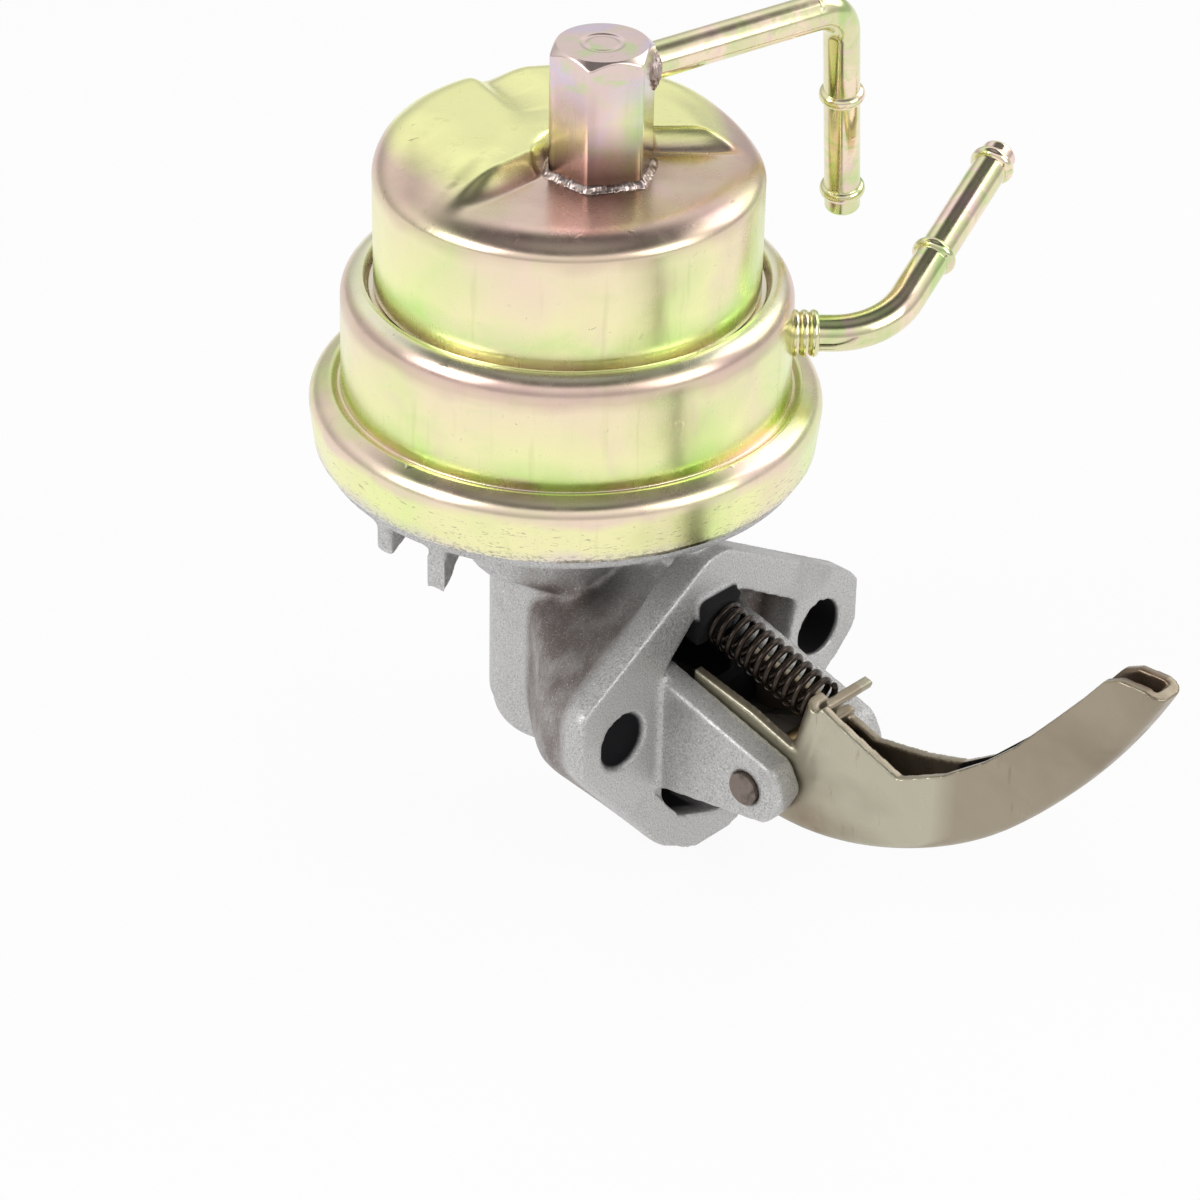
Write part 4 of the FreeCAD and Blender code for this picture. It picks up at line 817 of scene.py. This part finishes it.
def put_in_scene(name: str, shape: Mesh, sharp: float = 40.0, body: Body | None = Body.HOUSING) -> Object:
    """Make an object from points and let it ride on a body.

    Args:
        name: Name of the piece.
        shape: Its points in the row frame and its faces.
        sharp: Edges that bend by more degrees stay sharp.
        body: The body it rides on, or none for a piece left on no body.

    Returns:
        The new piece.
    """
    points, faces = shape
    mesh = bpy.data.meshes.new(name)
    mesh.from_pydata([point * MM for point in points], [], faces)
    tidy = bmesh.new()
    tidy.from_mesh(mesh)
    bmesh.ops.remove_doubles(tidy, verts=tidy.verts, dist=1e-7)
    bmesh.ops.recalc_face_normals(tidy, faces=tidy.faces)
    tidy.to_mesh(mesh)
    tidy.free()
    mesh.polygons.foreach_set("use_smooth", [True] * len(mesh.polygons))
    mesh.set_sharp_from_angle(angle=math.radians(sharp))
    piece = linked(name, mesh)
    if body is not None:
        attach(piece, body.value)
    LOG.info("built %s with %d faces", name, len(mesh.polygons))
    return piece


# Pressed cans

@dataclass
class PressedCans:
    """Two plated cans: the middle one rolled over the casting's rim, the upper one with its pressed recess."""

    palette: Palette
    sheet: float = 1.2
    lip_r: float = 39.8
    ring_r: float = 41.9
    ring_top: float = 43.9
    ring_low: float = 34.3
    mid_r: float = 36.4
    mid_foot: float = 44.6
    mid_top: float = 64.2
    inner_r: float = 35.1
    inner_z: float = 61.4
    groove_r: float = 32.3
    groove_low: float = 62.2
    top_r: float = 31.15
    top_low: float = 62.4
    top_z: float = 88.2
    top_round: float = 6.4
    shoulder_more: float = 0.9
    recess_depth: float = 3.4
    hex_x: float = 6.7
    pad_edge: Outline = (
        (-29.5, 7.6), (-26.4, 6.1), (-18.9, 3.6), (-13.0, 1.0), (-8.5, -3.2), (-4.8, -10.8), (-3.8, -20.3))
    pad_deep: float = 1.7
    pad_rise: float = 1.45
    middle_r: float = 0.02
    sides: int = 220
    rings: int = 62

    def middle_outline(self) -> Outline:
        """Give the closed outline of the middle can, from the rolled edge over the top and back inside.

        Returns:
            The outline's points.
        """
        low, foot, top, groove, seat = self.ring_low, self.mid_foot, self.mid_top, self.groove_r, self.top_r - 1.4
        corners = [(self.lip_r, low, 0.0), (40.4, low, 0.25), (40.95, low + 0.9, 0.6),
                   (self.ring_r, self.ring_top, 3.1), (38.1, 45.5, 0.9), (37.1, foot, 0.4),
                   (self.mid_r + 0.1, foot, 0.3), (self.mid_r, top, 3.6), (groove + 0.3, top - 0.1, 0.9),
                   (groove - 0.4, self.groove_low, 0.3),
                   (seat, self.groove_low, 0.0), (seat, self.inner_z, 0.0), (self.inner_r, self.inner_z, 0.0),
                   (self.inner_r, 44.3, 0.0), (40.0, 43.2, 0.0), (self.lip_r, low, 0.0)]
        return divided(rounded(corners, 9), 0.9)

    def middle_shape(self, r: float, z: float, a: float) -> Vector:
        """Give a point of the middle can, with the wave of the rolling and faint flats in the wall."""
        wave = noise.noise(polar(1.0, a) * 9.0) * 0.16 * step_up(z, self.ring_low + 3.0, self.ring_low + 0.2)
        return polar(r + noise.noise(polar(2.2, a, z * 0.06)) * 0.05, a, z + wave)

    def pad_drop(self, x: float, y: float) -> float:
        """Give how far the top lies below the raised pad, past the pad's pressed edge.

        Args:
            x: Distance in front of the axis.
            y: Distance to the far side of the axis.

        Returns:
            The drop.
        """
        nearest, drop = math.inf, 0.0
        for index, (start, end) in enumerate(zip(self.pad_edge, self.pad_edge[1:])):
            away, run = Vector((x, y)) - Vector(start), Vector(end) - Vector(start)
            t = min(1.0, max(0.0, away.dot(run) / run.dot(run)))
            gap = (away - run * t).length
            if gap < nearest:
                nearest = gap
                along = (index + t) / (len(self.pad_edge) - 1)
                past = gap if run.cross(away) > 0 else -gap
                depth = self.pad_deep - self.pad_rise * step_up(along, 0.1, 0.7)
                drop = depth * step_up(past, -1.9, 1.7) * step_up(past, 9.0, 1.8)
        return drop

    def top_height(self, x: float, y: float) -> float:
        """Give the height of the pressed top before its rounded shoulder.

        Args:
            x: Distance in front of the axis.
            y: Distance to the far side of the axis.

        Returns:
            The height.
        """
        recess = step_up(x, -1.3, 2.7) * step_up((x + 2.5 - y) / math.sqrt(2), -1.8, 1.8)
        round_hex = step_up(math.hypot(x - self.hex_x, y), 11.2, 8.6)
        turn = math.degrees(math.atan2(y, x))
        slump = step_up(turn, -158.0, -100.0) if turn < 0.0 else step_up(turn, 100.0, 52.0)
        slump *= step_up(math.hypot(x, y), 14.5 if turn < 0.0 else 20.0, 29.0)
        down = 1.0 - (1.0 - recess) * (1.0 - round_hex) * (1.0 - slump)
        return self.top_z - self.recess_depth * down - self.pad_drop(x, y) * (1.0 - down)

    def top_shape(self, r: float, z: float, a: float) -> Vector:
        """Give a point of the upper can, pressed down where the recess is.

        Args:
            r: Radius of the plain can there.
            z: Height of the plain can there.
            a: Angle about the axis.

        Returns:
            The point.
        """
        spot = polar(r, a)
        foot = self.top_z - self.top_round - self.shoulder_more
        if z > foot:
            z = foot + (z - foot) * (self.top_height(spot.x, spot.y) - foot) / (self.top_z - foot)
        press = 1.0 + noise.noise(polar(1.7, a, z * 0.05)) * 0.0016
        return polar(r * press, a, z)

    def top_mesh(self) -> Mesh:
        """Give the upper can with its recess, pad edge and rounded shoulder, and its lining.

        Returns:
            Points and faces.
        """
        top, r, rim, lining_r = self.top_z, self.top_r, self.top_r - self.top_round - 0.4, self.top_r - self.sheet
        wall = divided(rounded([(lining_r, self.top_low, 0.0), (r - 0.1, self.top_low, 0.3), (r, top, self.top_round),
                                (rim, top, 0.0)], 16), 0.55)
        outline = wall + [(max(rim * (1 - k / self.rings), self.middle_r), top) for k in range(1, self.rings + 1)]
        inner = [(lining_r, self.top_low), (lining_r, top - 6.5), (r - 6.0, top - 5.6), (self.middle_r, top - 5.6)]
        points, faces = turned(outline, self.sides, Matrix.Translation(AXIS), self.top_shape)
        lining, lining_faces = turned(inner, self.sides, Matrix.Translation(AXIS))
        first = len(points)
        faces.append(cap(len(outline) - 1, self.sides))
        faces += [[first + k for k in face] for face in (*lining_faces, cap(len(inner) - 1, self.sides))]
        return points + lining, faces

    def build(self) -> None:
        """Build and dress both cans."""
        middle = turned(self.middle_outline(), self.sides, Matrix.Translation(AXIS), self.middle_shape)
        self.palette.stand_in(put_in_scene("main_can_skin", middle), "main_can", Slot.CAN)
        self.palette.stand_in(put_in_scene("top_can_skin", self.top_mesh()), "top_can", Slot.CAN)


# Hexagon and its braze

@dataclass
class HexagonFitting:
    """Plated hexagon with a round top face and a dimple, brazed to the upper can."""

    palette: Palette
    flats: float = 15.0
    low: float = 84.6
    high: float = 106.2
    face_r: float = 7.2
    bevel: float = 1.9
    blend: float = 0.22
    corner_power: float = 34.0
    dimple_r: float = 3.0
    dimple_edge: float = 0.16
    dimple_depth: float = 0.06
    sides: int = 192
    wall_rows: int = 44
    fine: float = 2.0
    fine_rows: int = 22
    face_rows: int = 40
    bead_sides: int = 300
    bead: Outline = ((0.0, -0.4), (0.0, 2.1), (0.12, 2.2), (0.3, 2.1), (0.55, 1.75), (0.8, 1.25), (1.0, 0.7),
                     (1.2, 0.2), (1.4, -0.4))

    def hex_radius(self, a: float) -> float:
        """Give the radius of the hexagon with slightly rounded corners at an angle."""
        total = sum(abs(math.cos(a - math.radians(30 + 60 * k))) ** self.corner_power for k in range(3))
        return self.flats / 2 / total ** (1 / self.corner_power)

    def hex_shape(self, r: float, z: float, a: float) -> Vector:
        """Give a point of the hexagon: its wall, its bevel or its top face.

        Args:
            r: One on the wall, less on the top face.
            z: Height of the point.
            a: Angle about the hexagon's axis.

        Returns:
            The point.
        """
        radius = self.hex_radius(a)
        if r >= 1.0:
            corner = self.flats / 2 / math.cos(math.radians(30))
            cone = self.face_r + (self.high - z) * (corner + 0.5 - self.face_r) / self.bevel
            return polar(soft_min(radius, cone, self.blend), a, z)
        radius = r * soft_min(radius, self.face_r, self.blend)
        z -= self.dimple_edge * step_up(abs(radius - self.dimple_r), 0.7, 0.1)
        return polar(radius, a, z - self.dimple_depth * step_up(radius, 3.2, 2.4))

    def bead_shape(self, out: float, z: float, a: float) -> Vector:
        """Give a point of the braze, with drips and lumps.

        Args:
            out: How far it lies outside the hexagon, before lumps.
            z: Height above the bead's foot, before drips.
            a: Angle about the hexagon's axis.

        Returns:
            The point.
        """
        spot = polar(1.0, a)
        lump = noise.noise(spot * 9.0 + UP * z * 0.7) * 0.4 + noise.noise(spot * 27.0) * 0.35
        rise = 0.42 + 0.2 * noise.noise(spot * 3.1 + Vector((4.0, 0, 0))) + 0.16 * lump
        radius = self.hex_radius(a) - 0.15 + out * (0.95 + 0.6 * lump)
        return polar(radius, a, self.low + 0.2 + z * (rise if z > 0 else 1.0))

    def build(self) -> None:
        """Build and dress the hexagon, cut by a cone at the top, and its lumpy bead of braze."""
        outline = [(1.0, self.low + (self.high - self.low) * k / self.wall_rows) for k in range(self.wall_rows - 4)]
        outline += [(1.0, self.high + self.fine * (k / self.fine_rows - 1)) for k in range(self.fine_rows + 1)]
        outline += [(1.0 - k / self.face_rows * 0.999 - 0.0005, self.high) for k in range(1, self.face_rows + 1)]
        points, faces = turned(outline, self.sides, Matrix.Translation(HEX_AXIS), self.hex_shape)
        faces += [cap(0, self.sides), cap(len(outline) - 1, self.sides)]
        self.palette.stand_in(put_in_scene("hex_skin", (points, faces), 28.0), "hex_outlet", Slot.HEX)
        bead = turned(divided(self.bead, 0.16), self.bead_sides, Matrix.Translation(HEX_AXIS), self.bead_shape)
        self.palette.stand_in(put_in_scene("braze_bead", bead, 80.0), "hex_braze", Slot.BRAZE)


# Bent pipes

@dataclass
class BentPipe:
    """Plated pipe with one bend and two hose beads."""

    palette: Palette
    name: str
    node: str
    start: Vector
    corner: Vector
    leg: Vector
    leg_length: float
    bend_r: float
    beads: tuple[float, float]
    radius: float = 3.0
    wall: float = 0.9
    bead_rise: float = 0.8
    bead_half: float = 1.05
    end_round: float = 0.5
    end_drop: float = 0.25
    plain: float = 8.0
    step: float = 0.16
    straight_steps: int = 40
    bend_steps: int = 32
    sides: int = 48

    def middle_line(self) -> list[Vector]:
        """Give the points of the pipe's middle line, close together.

        Returns:
            The points.
        """
        run = (self.corner - self.start).normalized()
        turn = run.angle(self.leg)
        reach = self.bend_r * math.tan(turn / 2)
        first = self.corner - run * reach
        inward = (self.leg - run * self.leg.dot(run)).normalized()
        centre = first + inward * self.bend_r
        line = [self.start.lerp(first, k / self.straight_steps) for k in range(self.straight_steps)]
        for k in range(self.bend_steps + 1):
            a = turn * k / self.bend_steps
            line.append(centre - inward * self.bend_r * math.cos(a) + run * self.bend_r * math.sin(a))
        last = line[-1]
        length = self.leg_length - reach
        count = int(length / self.step)
        return line + [last + self.leg * length * k / count for k in range(1, count + 1)]

    def outer(self, along: float) -> float:
        """Give the outer radius, with the hose beads and the rounded end.

        Args:
            along: Distance behind the corner along the leg.

        Returns:
            The radius.
        """
        radius = self.radius
        if along <= self.plain:
            return radius
        for bead in self.beads:
            gap = abs(along - bead) / self.bead_half
            if gap < 1:
                radius += self.bead_rise * math.sqrt(1 - gap ** 2) ** 1.1
        end = (self.leg_length - along) / self.end_round
        return radius - self.end_drop * (1 - end) ** 2 if end < 1 else radius

    def build(self) -> None:
        """Build and dress the pipe."""
        line = self.middle_line()
        radii = [self.outer((point - self.corner).dot(self.leg)) for point in line]
        tube = swept(line, radii, self.sides, self.radius - self.wall)
        self.palette.stand_in(put_in_scene(self.name, tube, 50.0), self.node, Slot.PIPE)


@dataclass
class PipeJoints:
    """Ribbed collar of the inlet and the weld bead of the outlet."""

    palette: Palette
    collar_start: float = 35.9
    collar_length: float = 4.6
    collar_r: float = 3.35
    ring_rise: float = 0.5
    steps: int = 60
    collar_sides: int = 64
    weld_start: float = 7.2
    weld_sides: int = 96
    weld: Outline = ((3.0, -0.9), (4.5, -0.9), (4.6, 0.3), (4.1, 1.0), (3.5, 1.6), (2.95, 2.2))

    def collar_outline(self) -> Outline:
        """Give the outline of the collar: three rolled rings and two narrow waists.

        Returns:
            The outline's points.
        """
        steps = [k / self.steps for k in range(self.steps + 1)]
        return [(3.02, -0.1), *((self.collar_r + self.ring_rise * abs(math.sin(math.pi * 3 * t)) ** 0.6,
                                 t * self.collar_length) for t in steps), (3.02, self.collar_length + 0.05)]

    def weld_shape(self, r: float, z: float, a: float) -> Vector:
        """Give a point of the weld with its ripples.

        Args:
            r: Radius of the plain bead there.
            z: Distance along the pipe.
            a: Angle about the pipe.

        Returns:
            The point.
        """
        spot = polar(1.0, a, z * 0.4)
        lump = noise.noise(spot * 3.0) * 0.45 + noise.noise(spot * 8.0) * 0.25
        return polar(r + max(0.0, r - 3.1) * lump, a, z + 0.35 * lump)

    def build(self) -> None:
        """Build and dress both joints."""
        out = heading(INLET_TURN)
        place = facing(AXIS + UP * INLET_Z + out * self.collar_start, out)
        collar = turned(self.collar_outline(), self.collar_sides, place)
        self.palette.stand_in(put_in_scene("collar_rings", collar, 60.0), "inlet_collar", Slot.PIPE)
        out = heading(OUTLET_TURN)
        place = facing(HEX_AXIS + UP * OUTLET_Z + out * self.weld_start, out)
        bead = turned(divided(self.weld, 0.2), self.weld_sides, place, self.weld_shape)
        self.palette.stand_in(put_in_scene("weld_bead", bead, 80.0), "outlet_weld", Slot.BRAZE)


# Cast body and rocker arm, softened from their solids

NECK_BOSS: tuple[Point, ...] = (
    (-1.2, -33.2, 7.2), (-1.2, -33.2, -2.4), (-1.2, -31.0, -6.0), (-1.2, -14.2, -24.8), (-1.2, -12.9, -25.0),
    (-1.2, -12.9, 19.6), (-12.0, -30.0, 4.0), (-12.0, -30.0, -7.0), (-20.0, -23.0, -2.0), (-20.0, -23.0, -13.0),
    (-14.0, -25.5, 8.5), (-24.0, -18.5, 7.0), (-20.0, -12.9, -20.0), (-29.0, -15.6, -5.0), (-29.0, -15.6, -15.0),
    (-29.0, -12.9, -18.5), (-29.0, -12.9, -2.0), (-16.0, -12.9, 9.0))


@dataclass
class SoftenedSolid:
    """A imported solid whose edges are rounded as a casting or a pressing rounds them."""

    palette: Palette
    node: str
    name: str
    slot: Slot
    body: Body
    grain: float
    passes: int
    soft_passes: int = 0
    boss: tuple[Point, ...] = ()

    def add_boss(self, piece: Object) -> None:
        """Fill the outside of the neck up to the flange, as the hull of a few points.

        Args:
            piece: The casting before it is remeshed.
        """
        mesh = bmesh.new()
        mesh.from_mesh(piece.data)
        corners = [mesh.verts.new(Vector(point) * MM) for point in self.boss]
        made = bmesh.ops.convex_hull(mesh, input=corners)
        inside = [item for item in made["geom_interior"] if isinstance(item, bmesh.types.BMVert)]
        bmesh.ops.delete(mesh, geom=inside, context="VERTS")
        mesh.to_mesh(piece.data)
        mesh.free()

    def smooth(self, piece: Object, passes: int) -> bpy.types.SmoothModifier:
        """Add a smoothing modifier.

        Args:
            piece: The piece that gets it.
            passes: How often it smooths.

        Returns:
            The modifier.
        """
        made = piece.modifiers.new("soft", "SMOOTH")
        made.factor = 0.5
        made.iterations = passes
        return made

    def soften_neck(self, piece: Object) -> None:
        """Smooth the outside of the neck much more, as its pattern was rounded.

        Args:
            piece: The remeshed casting.
        """
        group = piece.vertex_groups.new(name="neck")
        for vertex in piece.data.vertices:
            x, y, z = vertex.co / MM
            near = y < AXIS.y
            front = -3.6 if near else -8.4
            share = step_up(x, -33.0, -29.0) * step_up(x, front + 2.0, front)
            share *= step_up(abs(y - AXIS.y), 8.6, 9.8) * step_up(z, -27.0, -24.0)
            share *= step_up(math.hypot(x - AXIS.x, y - AXIS.y), 10.6, 11.8)
            share *= step_up(z, 21.0, 17.0) if near else step_up(z, 14.0, 11.0)
            if share > 0.0:
                group.add([vertex.index], share, "REPLACE")
        self.smooth(piece, self.soft_passes).vertex_group = group.name

    def apply(self, piece: Object) -> None:
        """Apply the piece's modifiers.

        Args:
            piece: The piece.
        """
        graph = bpy.context.evaluated_depsgraph_get()
        graph.update()
        final = bpy.data.meshes.new_from_object(piece.evaluated_get(graph))
        piece.modifiers.clear()
        piece.data = final

    def build(self, frame: dict) -> None:
        """Remesh the solid finely, smooth its edges and dress it.
        """
        mesh = bpy.data.meshes.new_from_object(frame["nodes"][self.node])
        mesh.materials.clear()
        piece = linked(self.name, mesh)
        if self.boss:
            self.add_boss(piece)
        remesh = piece.modifiers.new("even", "REMESH")
        remesh.mode = "VOXEL"
        remesh.voxel_size = self.grain * 1.0 * MM
        self.smooth(piece, self.passes)
        self.apply(piece)
        if self.soft_passes:
            self.soften_neck(piece)
            self.apply(piece)
        faces = piece.data.polygons
        faces.foreach_set("use_smooth", [True] * len(faces))
        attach(piece, self.body.value)
        self.palette.stand_in(piece, self.node, self.slot)
        LOG.info("softened %s with %d faces", self.name, len(faces))


# Springs and diaphragm

@dataclass
class CoilSpring:
    """Round-wire coil spring with a closed coil at each end."""

    palette: Palette
    node: str
    name: str
    start: Vector
    axis: Vector
    length: float
    radius: float
    wire: float
    turns: float
    joint: str
    travel: float
    closed_turns: float = 0.75
    closed_pitch: float = 2.1
    steps: int = 40
    sides: int = 12

    def middle_line(self) -> list[Vector]:
        """Give the points of the wire's middle line, with a closed coil at each end.

        Returns:
            The points.
        """
        first = self.axis.orthogonal().normalized()
        second = self.axis.cross(first)
        count = int(self.turns * self.steps)
        usable = self.length - 2 * self.wire
        rest = self.closed_turns
        closed = self.closed_pitch * self.wire / usable
        path = []
        for k in range(count + 1):
            turn = k / count * self.turns
            free = max(0.0, min(1.0, (turn - rest) / (self.turns - 2 * rest)))
            rise = (min(turn, rest) + max(0.0, turn - self.turns + rest)) * closed + free * (1 - 2 * rest * closed)
            a = 2 * math.pi * turn
            spoke = first * math.cos(a) + second * math.sin(a)
            path.append(self.start + self.axis * (self.wire + usable * rise) + spoke * self.radius)
        return path

    def build(self) -> None:
        """Build the spring and dress it."""
        path = self.middle_line()
        piece = put_in_scene(self.name, swept(path, [self.wire] * len(path), self.sides), 60.0)
        self.palette.stand_in(piece, self.node, Slot.SPRING)
        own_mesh(piece)


@dataclass
class Diaphragm:
    """Rubberised diaphragm: its rim is clamped and its middle is raised round the pull rod's hole."""

    palette: Palette
    hole_r: float = 2.55
    flat_r: float = 21.5
    slope_r: float = 31.5
    lip_r: float = 40.0
    clamp_z: float = 36.0
    rise: float = 6.0
    thick: float = 1.6
    sides: int = 96

    def build(self) -> None:
        """Build the diaphragm and dress it, on no body."""
        middle = self.clamp_z + self.rise
        clamp_top = self.clamp_z + self.thick
        outline = [(self.hole_r, middle), (self.flat_r, middle), (self.slope_r, self.clamp_z),
                   (self.lip_r, self.clamp_z), (self.lip_r, clamp_top), (self.slope_r + 0.5, clamp_top),
                   (self.flat_r + 0.5, middle + self.thick), (self.hole_r, middle + self.thick),
                   (self.hole_r, middle)]
        skin = turned(divided(outline, 1.2), self.sides, Matrix.Translation(AXIS))
        piece = put_in_scene("diaphragm_skin", skin, 30.0, None)
        self.palette.stand_in(piece, "diaphragm", Slot.RUBBER)
        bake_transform(piece)


# Carried-over solids

@dataclass
class CarriedSolids:
    """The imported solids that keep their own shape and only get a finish."""

    palette: Palette

    def dress(self, frame: dict) -> None:
        """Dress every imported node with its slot's finish.
        """
        slots = {part["node"]: part["material_slot"] for part in frame["record"]["subparts"]}
        for name, thing in frame["nodes"].items():
            self.palette.dress(thing, slots[name])
            LOG.info("dressed %s with %s", name, slots[name])


# Where pipes and springs go

def pipes(palette: Palette) -> list[BentPipe]:
    """List the outlet and the inlet pipe.

    Args:
        palette: The finishes.

    Returns:
        Both pipes.
    """
    fitting, side = HEX_AXIS + UP * OUTLET_Z, AXIS + UP * INLET_Z
    lean = math.radians(14.0)
    down = -UP * math.cos(lean) + heading(119.0) * math.sin(lean)
    return [BentPipe(palette, "outlet_tube", "outlet_pipe", fitting + heading(OUTLET_TURN) * 4.6,
                     fitting + heading(OUTLET_TURN) * 47.5, down, 41.8, 6.5, (18.1, 38.0)),
            BentPipe(palette, "inlet_tube", "inlet_pipe", side + heading(INLET_TURN) * 35.0,
                     side + heading(INLET_TURN) * 51.2, heading(104.6, 18.0), 45.4, 14.0, (19.1, 42.3))]


def springs(palette: Palette) -> list[CoilSpring]:
    """List the return spring, the diaphragm's spring and the two valve springs.

    Args:
        palette: The finishes.

    Returns:
        All four springs.
    """
    slope = math.radians(15.3)
    axis = Vector((math.cos(slope), 0.0, -math.sin(slope)))
    coils = [CoilSpring(palette, "return_spring", "arm_spring", Vector((1.0, -2.5, 13.9)) + axis * 0.15, axis,
                        22.8, 3.45, 0.55, 11.0, "rocker_hinge", 1.05),
             CoilSpring(palette, "diaphragm_spring", "diaphragm_coil", AXIS + UP * 28.05, UP,
                        12.7, 11.0, 1.0, 3.5, "rocker_hinge", 4.5)]
    for name, x, z, way in (("inlet_valve", -14.0, 47.45, UP), ("outlet_valve", 14.0, 51.15, -UP)):
        coils.append(CoilSpring(palette, f"{name}_spring", f"{name}_coil", AXIS + Vector((x, 0.0, z)), way,
                                1.95, 4.7, 0.3, 2.0, f"{name}_lift", 0.6))
    return coils


# Studio

@dataclass
class Studio:
    """Pale floor, soft lights and the camera at the photograph's angle."""

    focal: float = 4240.9
    frame_px: float = 1200.0
    sensor: float = 36.0
    elevation: float = 32.04
    azimuth: float = 42.62
    roll: float = 1.14
    distance: float = 688.27
    shift_right: float = 5.48
    shift_up: float = -34.71
    centre: Point = (-33.87, -2.5, 43.24)
    far: float = 20000.0
    floor_z: float = -31.5
    floor_half: float = 3000.0
    floor_white: float = 0.92
    white: Colour = (1.0, 1.0, 1.0)
    room_light: float = 0.55
    room_tones: Outline = (
        (0.0, 0.62), (0.20, 0.55), (0.42, 0.82), (0.60, 1.0), (0.69, 1.0), (0.83, 0.12), (0.92, 0.13), (1.0, 0.36))
    aim: Point = (-20.0, 0.0, 30.0)
    lamps: tuple[tuple[str, Point, float, float], ...] = (
        ("key", (-230.0, -570.0, 420.0), 1.7, 380.0), ("fill", (600.0, 140.0, 380.0), 1.1, 380.0),
        ("back", (120.0, 560.0, 460.0), 0.8, 420.0))

    def axes(self) -> tuple[Vector, Vector, Vector]:
        """Give the camera's right, up and backward directions.

        Returns:
            The three directions.
        """
        rise, turn, roll = (math.radians(a) for a in (self.elevation, self.azimuth, self.roll))
        back = Vector((math.sin(turn) * math.cos(rise), -math.cos(turn) * math.cos(rise), math.sin(rise)))
        right = Vector((math.cos(turn), math.sin(turn), 0.0))
        up = back.cross(right)
        return right * math.cos(roll) + up * math.sin(roll), up * math.cos(roll) - right * math.sin(roll), back

    def set_camera(self) -> None:
        """Place the camera where the photograph was taken from."""
        right, up, back = self.axes()
        data = bpy.data.cameras.new("camera")
        data.sensor_width = self.sensor
        data.lens = self.focal / self.frame_px * self.sensor
        data.clip_end = self.far * MM
        camera = linked("camera", data)
        place = Vector(self.centre) + back * self.distance + right * self.shift_right + up * self.shift_up
        camera.matrix_world = Matrix.Translation(place * MM) @ Matrix((right, up, back)).transposed().to_4x4()
        bpy.context.scene.camera = camera

    def floor_finish(self) -> Material:
        """Build the floor's finish: matt white paper that the camera sees nearly white, with a faint shadow.

        Returns:
            The material.
        """
        s = Shader("floor_white")
        paper = s.ramp(s.cloud(12.0), [(0.3, (0.90, 0.90, 0.90)), (0.7, (0.93, 0.93, 0.93))])
        s.fill(s.surface, {"Base Color": paper, "Roughness": 0.95, "Specular IOR Level": 0.0})
        white = s.node("Emission", {"Strength": 1.0}).outputs[0]
        ray = s.node("LightPath", {}).outputs
        share = s.times(s.most(ray["Is Camera Ray"], ray["Is Glossy Ray"]), self.floor_white)
        mixed = s.node("MixShader", {0: share, 1: s.surface.outputs[0], 2: white}).outputs[0]
        s.fill(s.tree.nodes["Material Output"], {"Surface": mixed})
        return s.material

    def set_floor(self) -> None:
        """Lay the floor."""
        mesh, half = bpy.data.meshes.new("floor"), self.floor_half * MM
        mesh.from_pydata([(-half, -half, 0), (half, -half, 0), (half, half, 0), (-half, half, 0)], [], [(0, 1, 2, 3)])
        floor = linked("floor", mesh)
        floor.location.z = self.floor_z * MM
        floor.data.materials.append(self.floor_finish())

    def add_lamp(self, name: str, place: Point, power: float, size: float) -> None:
        """Hang a soft square lamp.

        Args:
            name: Name of the lamp.
            place: Where it hangs.
            power: Its power in watts.
            size: Its side in millimetres.
        """
        data = bpy.data.lights.new(name, "AREA")
        data.shape = "SQUARE"
        data.energy = power
        data.size = size * MM
        lamp = linked(name, data)
        lamp.location = Vector(place) * MM
        lamp.rotation_euler = (Vector(self.aim) - Vector(place)).to_track_quat("-Z", "Y").to_euler()

    def set_world(self) -> None:
        """Light the room softly; metal sees bright walls between a dull horizon and a dark ceiling."""
        world = bpy.data.worlds.new("room")
        world.use_nodes = True
        room = Nodes(world.node_tree)
        room.tree.nodes.clear()
        place = room.node("TexCoord", {}).outputs["Generated"]
        rise = room.node("SeparateXYZ", {"Vector": place}).outputs["Z"]
        tones = room.ramp(rise, [(position, (tone, tone, tone)) for position, tone in self.room_tones])
        soft, seen, white = (
            room.node("Background", {"Color": colour, "Strength": strength}).outputs[0]
            for colour, strength in ((self.white, self.room_light), (tones, 1.0), (self.white, 1.0)))
        ray = room.node("LightPath", {}).outputs
        gloss = room.node("MixShader", {0: ray["Is Glossy Ray"], 1: soft, 2: seen}).outputs[0]
        mixed = room.node("MixShader", {0: ray["Is Camera Ray"], 1: gloss, 2: white}).outputs[0]
        room.node("OutputWorld", {"Surface": mixed})
        bpy.context.scene.world = world

    def build(self) -> None:
        """Set up the whole studio."""
        self.set_camera()
        self.set_floor()
        self.set_world()
        for lamp in self.lamps:
            self.add_lamp(*lamp)
        bpy.context.scene.view_settings.view_transform = "Standard"


def main() -> None:
    """Load the frame, build every sub-assembly and report each piece."""
    logging.basicConfig(level=logging.INFO, format="%(message)s")
    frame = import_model()
    palette = Palette()
    CarriedSolids(palette).dress(frame)
    PressedCans(palette).build()
    HexagonFitting(palette).build()
    for pipe in pipes(palette):
        pipe.build()
    PipeJoints(palette).build()
    for solid in (SoftenedSolid(palette, "lower_body", "cast_body", Slot.CAST, Body.HOUSING, 0.62, 4, 110, NECK_BOSS),
                  SoftenedSolid(palette, "rocker_arm", "pressed_arm", Slot.ARM, Body.ROCKER, 0.30, 4)):
        solid.build(frame)
    for spring in springs(palette):
        spring.build()
    Diaphragm(palette).build()
    Studio().build()


if __name__ == "__main__":
    main()
